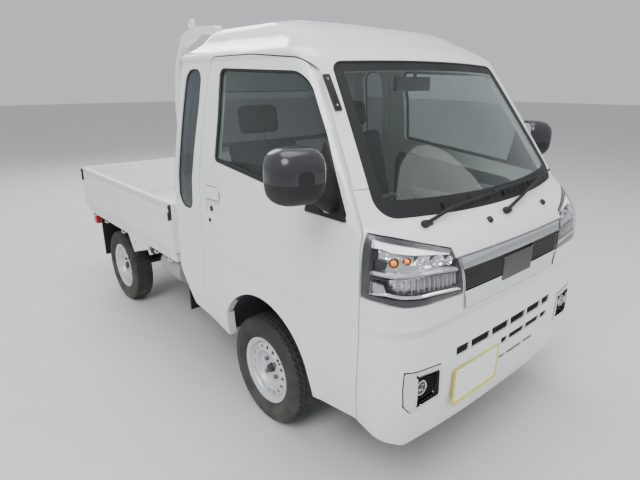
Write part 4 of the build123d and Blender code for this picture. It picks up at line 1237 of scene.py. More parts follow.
@dataclass
class Grille:
    """Dark slats between the chrome bars, a smoked bare centre block, and black lines at the frame's
    edges that are painted shade in its gaps.
    """

    band_top: Flat = (0.3865, 0.9585)
    band_low: Flat = (0.3695, 0.8705)
    # half width, foot and head of the centre block
    block: Point = (0.1175, 0.8445, 0.9455)
    # top and foot of what lies flush on the grille
    face_depth: Flat = (-0.0012, 0.001)
    slat_depth: Flat = (-0.0105, -0.001)
    slat_half: float = 0.0026
    slat_gap: float = 0.002
    slat_from: float = 0.8765
    slat_pitch: float = 0.0105
    slats: int = 8
    gap: float = 0.001
    # black lines laid flush beside the chrome frame's sides and along its top: painted shade in the
    # gaps
    side_line: tuple[Flat, Flat] = ((-0.4085, 1.002), (-0.3665, 0.7975))
    side_shifts: Flat = (0.005, 0.0125)
    top_line: tuple[Flat, Flat] = ((-0.405, 1.0035), (0.405, 1.0035))

    def build(self) -> None:
        """Build the slats, the block's face and the edge lines of painted gap shade."""
        chart = Chart(["grille"], FROM_FRONT)
        (top_x, top_z), (low_x, low_z) = self.band_top, self.band_low
        half, block_low, block_high = self.block
        outline = (
            (-top_x, top_z), (top_x, top_z), (low_x, low_z), (half + self.gap, low_z),
            (half + self.gap, block_high + self.gap), (-half - self.gap, block_high + self.gap),
            (-half - self.gap, low_z), (-low_x, low_z),
        )
        back = chart.patch(Shape(), outline, self.face_depth, step=0.02)
        back.piece("grille_back", TRIM_BLACK)
        slats = Shape()
        for index in range(self.slats):
            z = self.slat_from + index * self.slat_pitch
            reach = low_x + (top_x - low_x) * (z - low_z) / (top_z - low_z)
            for side in (-1, 1):
                run = ((side * (half + self.slat_gap), z), (side * (reach - self.slat_gap), z))
                across = (-self.slat_half, self.slat_half)
                chart.strip(slats, run, across, self.slat_depth, step=0.04)
        slats.piece("grille_slats", SMOKED)
        outline = rectangle(-half, half, block_low, block_high, 0.008)
        face = chart.patch(Shape(), outline, self.face_depth, step=0.02)
        face.piece("grille_block", SMOKED)
        # painted shade: flush black lines where the frame's gaps fall in shade
        lines = Shape()
        for shift in self.side_shifts:
            run = [(x + shift, z) for x, z in self.side_line]
            chart.strip(lines, run, (-0.0012, 0.0012), self.face_depth, step=0.02)
        chart.strip(lines, self.top_line, (-0.001, 0.001), (-0.001, 0.001), step=0.03)
        lines.twin().piece("grille_gap_shade", TRIM_BLACK)


@dataclass
class FogPods:
    """Chrome surrounds, dark recess bars and round lamps in the bumper's corners."""

    outline: Line = (
        (-0.6605, 0.6252), (-0.4815, 0.6052), (-0.4748, 0.4635), (-0.6398, 0.4597),
        (-0.6662, 0.4925), (-0.6672, 0.5598),
    )
    hole: Line = (
        (-0.6145, 0.6025), (-0.4895, 0.5905), (-0.4855, 0.4755), (-0.6145, 0.4715),
    )
    lamp: Flat = (-0.577, 0.537)
    lamp_radius: float = 0.031
    bars: int = 7
    bar_from: float = 0.487
    bar_pitch: float = 0.0145
    bar_span: Flat = (-0.606, -0.494)

    def build(self) -> None:
        """Build both pods."""
        chart = Chart(["fog_lamps"], FROM_FRONT)
        bezel = Shape()
        hole = rounded(self.hole, 0.012)
        chart.patch(bezel, rounded(self.outline, 0.008), (-0.002, 0.001), [hole], step=0.012)
        chart.strip(bezel, hole, (0.0, -0.0035), (-0.0045, 0.0), loop=True, step=0.02)
        bezel.twin().piece("fog_bezel", CHROME)
        bars = Shape()
        for index in range(self.bars):
            z = self.bar_from + self.bar_pitch * index
            run = [(x, z) for x in self.bar_span]
            chart.strip(bars, run, (-0.0018, 0.0018), (-0.008, 0.001))
        bars.twin().piece("fog_bars", TRIM_BLACK)
        (x, z), radius = self.lamp, self.lamp_radius
        place = chart.at(x, z, -0.001)
        ring = ((radius, 0.0), (radius, 0.013), (radius - 0.003, 0.016), (radius - 0.006, 0.013),
                (radius - 0.007, 0.004), (radius * 0.4, 0.002), (radius * 0.4, 0.0))
        bowl = Shape().turned(ring, place, (0, -1, 0), closed=True)
        bowl.twin().piece("fog_reflector", REFLECTOR)
        dome = [(radius * 0.8 * math.cos(a), 0.0095 + 0.005 * math.sin(a))
                for a in (math.pi / 2 * step / 6 for step in range(7))]
        lens = Shape().turned([(0.0, 0.009), *dome], place, (0, -1, 0))
        lens.twin().piece("fog_lens", LAMP_CLEAR)


@dataclass
class BumperFace:
    """Dark mesh in the air slots and the blank number plate."""

    # x from, x to, z from, z to
    rows: tuple[Box, ...] = (
        (-0.387, 0.387, 0.598, 0.638), (-0.060, 0.370, 0.531, 0.561), (-0.060, 0.245, 0.457, 0.473),
    )
    rib_pitch: float = 0.148
    rib_half: float = 0.0065
    cell: float = 0.013
    wire_half: float = 0.001
    wire_thick: float = 0.003
    rim: float = 0.007
    # how far the backing, the upright and the level wires lie behind the bumper's face
    layers: Point = (0.009, 0.0055, 0.0045)
    plate_x: float = -0.24
    plate_z: float = 0.464

    def cells(self) -> list[Box]:
        """Return the slots between the ribs."""
        found = []
        for x0, x1, z0, z1 in self.rows:
            ends = [x0]
            for rib in range(-2, 3):
                middle = rib * self.rib_pitch
                if x0 < middle < x1:
                    ends += [middle - self.rib_half, middle + self.rib_half]
            ends.append(x1)
            found += [(a, b, z0, z1) for a, b in zip(ends[::2], ends[1::2])]
        return found

    def build(self) -> None:
        """Build the mesh and the plate."""
        chart = Chart(["front_bumper"], FROM_FRONT)
        mesh = Shape()
        for x0, x1, z0, z1 in self.cells():
            for x_from, x_to, z_from, z_to, near in self.bars(x0, x1, z0, z1):
                ring = []
                for x, z in ((x_from, z_from), (x_to, z_from), (x_to, z_to), (x_from, z_to)):
                    skin = chart.at(x, z1 + self.rim).y
                    ring.append(Vector((x, skin + near, z)))
                mesh.slab(ring, (0.0, self.wire_thick, 0.0))
        mesh.piece("slot_mesh", TRIM_BLACK)
        self.front_plate(chart)

    def bars(self, x0: float, x1: float, z0: float, z1: float) -> list[tuple[float, ...]]:
        """Return a slot's backing and wires as x from, x to, z from, z to and depth."""
        backing, upright, level = self.layers
        out = [(x0, x1, z0, z1, backing)]
        count = max(2, round((x1 - x0) / self.cell))
        for index in range(1, count):
            x = x0 + (x1 - x0) * index / count
            out.append((x - self.wire_half, x + self.wire_half, z0, z1, upright))
        levels = max(1, round((z1 - z0) / self.cell))
        for index in range(1, levels):
            z = z0 + (z1 - z0) * index / levels
            out.append((x0, x1, z - self.wire_half, z + self.wire_half, level))
        return out

    def front_plate(self, chart: Chart) -> None:
        """Build the front number plate, which is left blank."""
        half_x, half_z = PLATE_SIZE[0] / 2, PLATE_SIZE[1] / 2
        spots = [chart.at(self.plate_x + a * half_x, self.plate_z + b * half_z).y
                 for a in (-1, 0, 1) for b in (-1, 0, 1)]
        number_plate("front_plate", (self.plate_x, min(spots) - 0.0005, self.plate_z), -1.0)


def number_plate(name: str, place: Point, way: float) -> None:
    """Build a blank number plate with its two screws.

    Args:
        name: The pieces' name.
        place: The middle of its back.
        way: -1 when it looks forward, 1 when it looks back.
    """
    x, y, z = place
    width, height = PLATE_SIZE

    def raised(flat: Sequence[Flat], rise: float) -> list[Vector]:
        """Stand a flat outline up at a height over the plate's back."""
        return [Vector((x + u, y + way * rise, z + v)) for u, v in flat]

    rings = []
    for inset, rise in ((0.0, 0.0), (0.0, 0.0018), (0.001, 0.0026), (0.004, 0.0026), (0.0055, 0.0018)):
        half_x, half_z = width / 2 - inset, height / 2 - inset
        rings.append(raised(rectangle(-half_x, half_x, -half_z, half_z, 0.012), rise))
    Shape().rings(rings).piece(name, PLATE_YELLOW)
    low, high, side = -height / 2 + 0.016, height / 2 - 0.007, width / 2 - 0.014
    card = [raised(rectangle(-side, side, low, high, 0.004), rise) for rise in (0.0012, 0.0023, 0.0027)]
    Shape().rings(card).piece(f"{name}_face", PLATE_WHITE)
    screws = Shape()
    head = ((0.0, 0.0052), (0.004, 0.005), (0.0065, 0.0035), (0.007, 0.0018), (0.0, 0.0018))
    for side in (-1, 1):
        spot = (x + side * width * 0.32, y + way * 0.0008, z + height / 2 - 0.022)
        screws.turned(head, spot, (0, way, 0), steps=16)
    screws.piece(f"{name}_screws", CHROME)


@dataclass
class WiperDetails:
    """Pivot caps and washer nozzles on the front panel."""

    pivots: Line = ((-0.486, 1.127), (-0.02, 1.11))
    nozzles: Line = ((-0.147, 1.094), (0.308, 1.091))
    cap_size: Point = (0.064, 0.022, 0.024)
    cap_shift: float = 0.012
    nozzle_size: Point = (0.026, 0.02, 0.026)
    lean: float = -52.0
    # each kind's turn about its own upright
    cap_turn: float = 16.0
    nozzle_turn: float = 45.0

    def build(self) -> None:
        """Build the caps and nozzles."""
        chart = Chart(["front_panel"], FROM_FRONT)
        lean = Matrix.Rotation(math.radians(self.lean), 3, "X")
        parts = Shape()
        for x, z in self.pivots:
            turn = lean @ Matrix.Rotation(math.radians(self.cap_turn), 3, "Z")
            parts.block(chart.at(x + self.cap_shift, z, -0.008), self.cap_size, 0.007, turn)
        for x, z in self.nozzles:
            turn = lean @ Matrix.Rotation(math.radians(self.nozzle_turn), 3, "Z")
            parts.block(chart.at(x, z, -0.002), self.nozzle_size, 0.006, turn)
        parts.piece("wiper_caps", TRIM_BLACK)


@dataclass
class GlassTrim:
    """Rubber mouldings round the fixed glass, and the windscreen's black border: partly a printed band
    and partly painted shade of the dashboard, widest at its foot.
    """

    screen_way: Point = (0.0, -0.812, 0.584)
    moulding: float = 0.008
    border: float = 0.046
    border_from: float = 0.004
    band_shares: Row = (0.0, 0.34, 0.67, 1.0)
    # the border's extra width at its foot is painted shade of the dashboard behind the glass
    foot_shade_width: float = 0.024
    foot_height: float = 1.22
    foot_fade: float = 0.05

    def build(self) -> None:
        """Build the trim of the windscreen, quarter windows and rear window."""
        loop = even(outer_loop("windscreen", self.screen_way, lambda spot: True), 0.02)
        rubber, border = Shape(), Shape()
        edging(rubber, loop, self.screen_way, (-0.001, self.moulding), (-0.001, 0.0035))
        start = self.border_from
        bands = [start + (self.border - start) * share for share in self.band_shares]
        screen = Chart(["windscreen"], FROM_FRONT)
        # the bands are the printed border, widened at the foot by painted shade of the dashboard
        for inner, outer in zip(bands, bands[1:]):
            edging(border, loop, self.screen_way, (inner, outer), (0.0001, 0.0007), self.foot, screen)
        for toward, where in (
            ((-1.0, 0.0, 0.1), lambda spot: spot.x < -0.5),
            ((0.0, 1.0, 0.1), lambda spot: abs(spot.x) < 0.6 and spot.y > -0.3),
        ):
            pane = even(outer_loop("fixed_glass", toward, where), 0.012)
            part = Shape()
            edging(part, pane, toward, (-0.001, 0.006), (-0.001, 0.004))
            if toward[0]:
                part.twin()
            rubber.add(part.points, part.faces)
        rubber.piece("glass_rubber", TRIM_BLACK)
        border.piece("screen_border_and_shade", TRIM_BLACK)

    def foot(self, spot: Vector) -> float:
        """Return how much wider the border is at a place: painted shade of the dashboard along the
        windscreen's foot.
        """
        return self.foot_shade_width * min(1.0, max(0.0, (self.foot_height - spot.z) / self.foot_fade))


@dataclass
class PillarStrip:
    """The black strip with two screws on the driver's windscreen pillar."""

    head: Point = (-0.6105, -1.176, 1.633)
    foot: Point = (-0.62, -1.2535, 1.517)
    across: Point = (0.0295, -0.0035, 0.005)
    width: float = 0.032
    thick: float = 0.009
    screw_reach: float = 0.055

    def build(self) -> None:
        """Build the strip and its screws."""
        along = Vector(self.head) - Vector(self.foot)
        up, side = along.normalized(), Vector(self.across).normalized()
        out = side.cross(up).normalized()
        out = out if out.y < 0 else -out
        side = up.cross(out)
        turn = Matrix((side, up, out)).transposed()
        middle = (Vector(self.head) + Vector(self.foot)) / 2
        strip = Shape().block(middle, (self.width, along.length + 0.012, self.thick), 0.014, turn)
        strip.piece("pillar_strip", TRIM_BLACK)
        screws = Shape()
        for share in (-1, 1):
            place = middle + up * share * self.screw_reach + out * self.thick / 2
            head = ((0.0, 0.002), (0.003, 0.0018), (0.0045, 0.0), (0.0045, -0.001), (0.0, -0.001))
            screws.turned(head, place, out, steps=12)
        screws.piece("pillar_screws", CHROME)


# Doors and mirrors


@dataclass
class DoorDetails:
    """Window rubbers, lock, a thin black ring round the handle's lid that is painted shadow of its gap,
    and the lining inside each door.
    """

    rubber: float = 0.013
    seam: float = 0.0032
    glass_way: Point = (-1.0, 0.0, 0.17)
    lid: Box = (-0.547, -0.406, 1.062, 1.127)
    locks: Line = ((-0.436, 1.006), (-0.438, 0.949))
    lock_sizes: Flat = (0.0115, 0.0075)
    # where the seam narrows beside the rear pillar, and where the rubber widens at the window's foot
    rear_seam: Flat = (-0.42, 1.55)
    rear_seam_width: float = 0.0004
    belt_at: Flat = (-1.42, 1.26)
    belt_width: float = 0.006
    rest: Flat = (-0.78, 0.93)
    rest_size: Point = (0.05, 0.36, 0.045)
    pull: Flat = (-1.12, 1.03)
    pull_size: Point = (0.022, 0.1, 0.03)
    winder: Flat = (-1.0, 0.8)
    crank_size: Point = (0.012, 0.1, 0.018)
    crank_turn: float = -34.0
    lining: Line = (
        (-1.25, 0.62), (-1.38, 0.78), (-1.38, 1.0), (-1.25, 1.1), (-0.45, 1.17), (-0.42, 1.1),
        (-0.42, 0.5), (-0.55, 0.46), (-0.62, 0.46), (-0.72, 0.62),
    )

    def build(self) -> None:
        """Build both doors' details."""
        pane = outer_loop("door_glass_right", self.glass_way, lambda spot: True)
        rubber = Shape()
        edging(rubber, even(pane, 0.014), self.glass_way, (-0.001, self.rubber), (-0.001, 0.0095),
               self.belt)
        rubber.both("window_rubber", TRIM_BLACK, "door")
        self.seal()
        chart = Chart(["door_right"], FROM_RIGHT)
        outline = rectangle(*self.lid, 0.012)
        # painted shadow: a thin black ring laid on the skin round the handle's lid, where the lid's gap
        # would fall in shade; it shares one piece with the real keyholes
        gap = chart.strip(Shape(), outline, (0.0005, -0.0012), (-0.0004, 0.001), loop=True)
        for place, size in zip(self.locks, self.lock_sizes):
            spot = chart.at(*place, -0.001)
            ring = ((size + 0.003, -0.002), (size + 0.003, 0.002), (size + 0.001, 0.003),
                    (size, 0.002), (size * 0.3, 0.0015), (size * 0.3, -0.002))
            gap.turned(ring, spot, (-1, 0, 0), steps=24, closed=True)
        gap.both("door_lock_and_painted_gap", TRIM_BLACK, "door")
        self.linings()

    def seal(self) -> None:
        """Build the rubber in the seam along the door's front, head and foot."""
        rim = even(outer_loop("door_right", self.glass_way, lambda spot: True), 0.02)
        middle = sum(rim, Vector()) / len(rim)
        rings = []
        for index, here in enumerate(rim):
            run = (rim[(index + 1) % len(rim)] - rim[index - 1]).normalized()
            out = Vector(self.glass_way).cross(run).normalized()
            out = out if out.dot(here - middle) > 0 else -out
            into = Vector(self.glass_way).normalized() * -1
            rear = here.y > self.rear_seam[0] and here.z < self.rear_seam[1]
            width = self.rear_seam_width if rear else self.seam
            rings.append([here + out * a + into * b for a, b in
                          ((-0.001, 0.003), (width, 0.003), (width, 0.012), (-0.001, 0.012))])
        seal = Shape().rings(rings, loop=True)
        seal.both("door_seal", TRIM_BLACK, "door")

    def belt(self, spot: Vector) -> float:
        """Return how much wider the rubber is along the window's foot."""
        y, z = self.belt_at
        return self.belt_width if spot.z < z and spot.y > y else 0.0

    def linings(self) -> None:
        """Build the inner panels with their armrests, pulls and winders."""
        chart = Chart(["door_right"], FROM_INSIDE)
        panel = chart.patch(Shape(), rounded(self.lining, 0.04), (-0.006, 0.001), step=0.04)
        panel.both("door_lining", CABIN_DARK, "door", bevel=0.001)
        grips = Shape()
        grips.block(chart.at(*self.rest) + Vector((0.024, 0.0, 0.0)), self.rest_size, 0.016)
        grips.block(chart.at(*self.pull) + Vector((0.012, 0.0, 0.0)), self.pull_size, 0.008)
        winder = chart.at(*self.winder)
        hub = ((0.0, 0.024), (0.016, 0.022), (0.02, 0.008), (0.02, 0.0), (0.0, 0.0))
        grips.turned(hub, winder, (1, 0, 0), steps=24)
        crank = Matrix.Rotation(math.radians(self.crank_turn), 3, "X")
        grips.block(winder + Vector((0.022, 0.045, -0.03)), self.crank_size, 0.005, crank)
        grips.both("door_grips", CABIN_GREY, "door")


@dataclass
class Mirrors:
    """Door mirrors: a glossy cap over a matt shell, the glass, the arm and the sail."""

    centre: Point = (-0.8815, -1.335, 1.312)
    turn: float = -12.0
    pivot: Flat = (-0.79, -1.345)
    fold: float = -36.0
    half: Flat = (0.1, 0.097)
    power: float = 3.3
    cap_foot: float = -0.016
    cap_thick: float = 0.0014
    cap_sections: int = 9
    cap_points: int = 40
    points: int = 48
    # depth and the outline's share of its full size
    sections: Line = (
        (-0.072, 0.3), (-0.07, 0.5), (-0.062, 0.7), (-0.046, 0.86), (-0.022, 0.96), (0.008, 1.0),
        (0.034, 1.0), (0.05, 0.975), (0.056, 0.94), (0.056, 0.88), (0.047, 0.86),
    )
    glass: Line = ((0.046, 0.855), (0.0505, 0.855), (0.0512, 0.845))
    arm: tuple[Point, ...] = (
        (-0.703, -1.35, 1.184), (-0.76, -1.35, 1.196), (-0.795, -1.347, 1.222), (-0.81, -1.343, 1.262),
    )
    arm_radius: float = 0.021
    sail: Line = ((-1.424, 1.146), (-1.28, 1.414), (-1.262, 1.406), (-1.199, 1.146))

    def build(self) -> None:
        """Build the right mirror, and the left one part folded."""
        place = Matrix.Translation(self.centre) @ Matrix.Rotation(math.radians(self.turn), 4, "Z")
        pivot = Matrix.Translation((*self.pivot, 0.0))
        swing = pivot @ Matrix.Rotation(math.radians(self.fold), 4, "Z") @ pivot.inverted()
        shell = Shape().rings([self.ring(depth, share) for depth, share in self.sections])
        for name, shape, finish in (
            ("mirror_shell", shell, TRIM_BLACK), ("mirror_cap", self.cap(), MIRROR_BLACK),
            ("mirror_glass", self.pane(), MIRROR_FACE),
        ):
            opened = shape.moved(place)
            opened.piece(f"{name}_right", finish, "door_right", angle=50)
            folded = opened.moved(swing).reflected()
            folded.piece(f"{name}_left", finish, "door_left", angle=50)
        self.stalk()

    def ring(self, depth: float, share: float) -> list[Vector]:
        """Return the housing's outline at a depth."""
        turns = [2 * math.pi * index / self.points for index in range(self.points)]
        return [self.spot(turn, depth, share) for turn in turns]

    def spot(self, turn: float, depth: float, share: float, grow: float = 0.0) -> Vector:
        """Return a point on the housing's outline at a turn and a depth."""
        reach = 2 / self.power
        a, b = (length * share + grow for length in self.half)
        cos, sin = math.cos(turn), math.sin(turn)
        return Vector((math.copysign(a * abs(cos) ** reach, cos), depth,
                       math.copysign(b * abs(sin) ** reach, sin)))

    def cap(self) -> Shape:
        """Return the glossy cap over the upper part."""
        rings = []
        for depth, share in self.sections[:self.cap_sections]:
            level = min(0.999, abs(self.cap_foot) / (self.half[1] * share)) ** (self.power / 2)
            low = -math.asin(level)
            count = self.cap_points
            turns = [low + (math.pi - 2 * low) * index / count for index in range(count + 1)]
            ahead = self.cap_thick if depth > -0.05 else 0.0
            outer = [self.spot(t, depth - self.cap_thick + ahead, share, self.cap_thick) for t in turns]
            inner = [self.spot(t, depth, share, -0.001) for t in reversed(turns)]
            rings.append(outer + inner)
        return Shape().rings(rings)

    def pane(self) -> Shape:
        """Return the glass."""
        return Shape().rings([self.ring(depth, share) for depth, share in self.glass])

    def stalk(self) -> None:
        """Build the arm and the sail, which take the CAD mirrors' place."""
        chart = Chart(["door_right", "door_glass_right"], FROM_RIGHT)
        arm = Shape().tube(dense(self.arm, 0.012), self.arm_radius, 20)
        chart.patch(arm, rounded(self.sail, 0.008), (-0.009, 0.0005), step=0.02)
        for side, shape in (("right", arm), ("left", arm.reflected())):
            made = shape.piece(f"mirror_arm_{side}", TRIM_BLACK, f"door_{side}", bevel=0.001)
            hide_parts(f"mirror_{side}")


# Load bed and rear


@dataclass
class BedDetails:
    """Floor ribs, latches, hinges and rope hooks of the load bed."""

    rib_pitch: float = 0.098
    rib_half: float = 0.017
    rib_height: float = 0.003
    rib_slope: float = 0.004
    rib_stations: Row = (0.036, 0.3, 0.9, 1.5, 1.655)
    ribs: int = 7
    floor_top: float = 0.66
    rib_root: float = 0.0002
    hooks_y: Row = (0.14, 0.34, 0.92, 1.28, 1.56)
    # the hook's line as x and z
    hook: Line = (
        (-0.7, 0.594), (-0.7, 0.576), (-0.706, 0.564), (-0.718, 0.56), (-0.727, 0.566), (-0.73, 0.58),
    )
    hook_radius: float = 0.0045
    hinges_y: Row = (0.22, 0.84, 1.46)
    knuckle_reach: float = 0.043
    # y and the way inward of each gate's latches
    latch_ends: Line = ((0.028, 1), (1.672, -1))
    tail_latch_x: float = 0.672
    tail_hinge_x: float = 0.45

    def build(self) -> None:
        """Build the bed's details."""
        ribs = Shape()
        for index in range(-self.ribs + 1, self.ribs):
            x, half, slope = index * self.rib_pitch, self.rib_half, self.rib_slope
            foot, top = self.floor_top - self.rib_root, self.floor_top + self.rib_height
            section = ((-half, foot), (-half + slope, top), (half - slope, top), (half, foot))
            ribs.rings([[Vector((x + u, y, z)) for u, z in section] for y in self.rib_stations])
        ribs.piece("bed_ribs", BED_WHITE)
        self.latches()
        self.hooks()

    def latches(self) -> None:
        """Build the gates' latches and hinges."""
        latch, leaf = Shape(), Shape()
        knob = ((0.0, 0.004), (0.006, 0.004), (0.008, 0.0), (0.008, -0.006), (0.0, -0.006))
        screw = ((0.0, 0.002), (0.0035, 0.0015), (0.0045, 0.0), (0.0, 0.0))
        for y, way in self.latch_ends:
            latch.block((-0.7405, y, 0.897), (0.012, 0.026, 0.088), 0.004)
            latch.block((-0.747, y + way * 0.008, 0.87), (0.01, 0.016, 0.05), 0.004)
            latch.turned(knob, (-0.7475, y, 0.925), (-1, 0, 0), steps=18)
        latch.both("gate_latch", TRIM_BLACK, "side_gate")
        for y in self.hinges_y:
            leaf.block((-0.7395, y, 0.669), (0.005, 0.056, 0.032), 0.002)
            for side in (-0.016, 0.016):
                leaf.turned(screw, (-0.742, y + side, 0.673), (-1, 0, 0), steps=12)
        leaf.both("gate_leaf", BED_WHITE, "side_gate")
        knuckles = Shape()
        for y in self.hinges_y:
            for side in (-self.knuckle_reach, self.knuckle_reach):
                knuckles.block((-0.7315, y + side, 0.629), (0.005, 0.02, 0.016), 0.002)
        knuckles.twin().piece("gate_knuckles", BED_WHITE)
        rear = Shape()
        for side in (-1, 1):
            rear.block((side * self.tail_latch_x, 1.6995, 0.9), (0.03, 0.006, 0.07), 0.003)
            rear.block((side * self.tail_hinge_x, 1.6992, 0.668), (0.06, 0.004, 0.03), 0.002)
        rear.piece("tailgate_latch", TRIM_BLACK, "tailgate")

    def hooks(self) -> None:
        """Build the rope hooks below the bed's sills."""
        hooks = Shape()
        for y in self.hooks_y:
            hooks.tube([(x, y, z) for x, z in self.hook], self.hook_radius, 10)
            hooks.block((-0.701, y, 0.591), (0.026, 0.03, 0.006), 0.002)
        hooks.twin().piece("rope_hooks", BED_WHITE)


@dataclass
class RearFace:
    """Tail lamp lenses, the rear plate and its lamp."""

    # x from, x to and finish
    segments: tuple[tuple[float, float, Finish], ...] = (
        (-0.692, -0.622, LAMP_RED), (-0.619, -0.568, AMBER), (-0.565, -0.508, LAMP_WHITE),
    )
    lens_z: Flat = (0.474, 0.555)
    frame_box: Box = (-0.6945, -0.5055, 0.4715, 0.5575)
    flute: float = 0.0007
    flute_pitch: float = 0.011
    plate: Point = (0.0, 1.6802, 0.474)

    def build(self) -> None:
        """Build the rear's details."""
        chart = Chart(["tail_lamps"], FROM_REAR)
        for x0, x1, finish in self.segments:
            outline = rectangle(x0, x1, *self.lens_z, 0.007)
            lens = chart.patch(Shape(), outline, (-0.003, 0.001), step=0.004, relief=self.flutes)
            lens.twin().piece(f"tail_lens_{finish.name}", finish, angle=60)
        outline = rectangle(*self.frame_box, 0.01)
        frame_edge = chart.strip(Shape(), outline, (0.0, 0.0025), (-0.0035, 0.002), loop=True)
        frame_edge.twin().piece("tail_frame", TRIM_BLACK)
        number_plate("rear_plate", self.plate, 1.0)
        lamp = Shape()
        for side in (-1, 1):
            lamp.block((side * 0.13, 1.684, 0.566), (0.05, 0.012, 0.018), 0.004)
        lamp.piece("plate_lamps", TRIM_BLACK)

    def flutes(self, _u: float, v: float) -> float:
        """Return the relief of a fluted lens."""
        return self.flute * math.sin(v * 2 * math.pi / self.flute_pitch)


# Wheels


@dataclass
class Wheel:
    """One wheel's treaded tyre and hub details."""

    name: str
    x: float
    y: float
    radius: float = 0.268
    steps: int = 240
    groove: float = 0.005
    # where the tread's rings run, how far out slots reach, and the least radius that is cut
    rings: tuple[Flat, Flat] = ((0.0102, 0.0143), (0.0342, 0.0388))
    slots: Flat = (0.013, 0.0535)
    cut_from: float = 0.26
    slot_pitch: int = 5
    slot_slant: int = 160
    hub_face: float = 0.016
    nuts: int = 4
    nut_circle: float = 0.05
    # the valve's place across, from the axle, and its turn
    valve: Point = (0.036, 0.141, 2.5)

    def build(self) -> None:
        """Build the tyre and the hub."""
        side = -1.0 if self.x < 0 else 1.0
        place = Vector((self.x, self.y, self.radius))
        body = f"wheel_{self.name}"
        tyre = self.tyre(place).piece(f"tread_{self.name}", TYRE_RUBBER, body, angle=30)
        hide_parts(f"tyre_{self.name}")
        self.hub(place, side)

    def profile(self) -> list[Flat]:
        """Return the tyre's section as (radius, across) from one bead to the other."""
        wall = [(0.154, 0.05), (0.168, 0.0508), (0.1705, 0.0575), (0.18, 0.0645), (0.19, 0.0685),
                (0.2, 0.0712), (0.206, 0.0718), (0.2075, 0.0725), (0.2125, 0.0725), (0.214, 0.0718),
                (0.228, 0.0712), (0.24, 0.0694), (0.25, 0.0664), (0.258, 0.062), (0.2635, 0.0565),
                (0.2662, 0.0515)]
        tread = [(self.radius - 0.0012 * (abs(x) / 0.047) ** 2, x) for x in
                 (0.047, 0.041, 0.0385, 0.0345, 0.032, 0.025, 0.0165, 0.014, 0.0105, 0.008, 0.0)]
        right = wall + tread
        return right + [(radius, -across) for radius, across in reversed(right[:-1])]

    def tyre(self, place: Vector) -> Shape:
        """Return the tyre with its grooves cut into the tread."""
        rings = []
        for radius, across in self.profile():
            ring = []
            flat = abs(across)
            ring_cut = any(low < flat < high for low, high in self.rings)
            inner, outer = self.slots
            deep = flat < outer and radius > self.cut_from
            shift = int(flat * self.slot_slant) + (2 if across < 0 else 0)
            for step in range(self.steps):
                slot = (step + shift) % self.slot_pitch == 0 and flat > inner
                cut = self.groove if (ring_cut or slot) and deep else 0.0
                turn = 2 * math.pi * step / self.steps
                reach = radius - cut
                ring.append(place + Vector((across, reach * math.cos(turn), reach * math.sin(turn))))
            rings.append(ring)
        return Shape().rings(rings, loop=True)

    def hub(self, place: Vector, side: float) -> None:
        """Build the hub cap, nuts, valve, and a black ring behind the holes that is painted shade to
        make the holes read dark.
        """
        axis = (side, 0.0, 0.0)
        cap = ((0.0, 0.026), (0.012, 0.0255), (0.018, 0.022), (0.0215, 0.012), (0.023, 0.0),
               (0.03, -0.001), (0.031, -0.005), (0.0, -0.005))
        face = place + Vector((side * self.hub_face, 0, 0))
        dark = Shape().turned(cap, face, axis)
        # painted shade: a black ring behind the holes, where the barrel's inside would only be in shade
        ring = ((0.1, 0.032), (0.13, 0.024), (0.13, 0.02), (0.1, 0.028))
        dark.turned(ring, place, axis, steps=48, closed=True)
        nuts = Shape()
        hexagon = ((0.0, 0.0165), (0.0085, 0.0165), (0.0105, 0.0145), (0.0105, 0.0), (0.0, 0.0))
        for index in range(self.nuts):
            turn = math.pi / 2 * (index + 0.5)
            reach = self.nut_circle
            spot = face + Vector((0, reach * math.cos(turn), reach * math.sin(turn)))
            nuts.turned(hexagon, spot, axis, steps=6)
        valve = Shape()
        across, reach, turn = self.valve
        root = place + Vector((side * across, reach * math.cos(turn), reach * math.sin(turn)))
        stem = ((0.0, 0.024), (0.0035, 0.024), (0.004, 0.014), (0.005, 0.012), (0.006, 0.0), (0.0, 0.0))
        valve.turned(stem, root, axis, steps=12)
        # the hub piece holds the real hub cap and the painted-shade ring behind the holes
        for kind, part, finish in (
            ("hub", dark, CHASSIS_BLACK), ("nuts", nuts, BARE_METAL), ("valve", valve, TRIM_BLACK),
        ):
            part.piece(f"{kind}_{self.name}", finish, f"wheel_{self.name}")


WHEELS = (
    Wheel("front_right", -0.6525, -0.849), Wheel("front_left", 0.6525, -0.849),
    Wheel("rear_right", -0.65, 1.051), Wheel("rear_left", 0.65, 1.051),
)


# Cabin

SEAT_X = 0.345


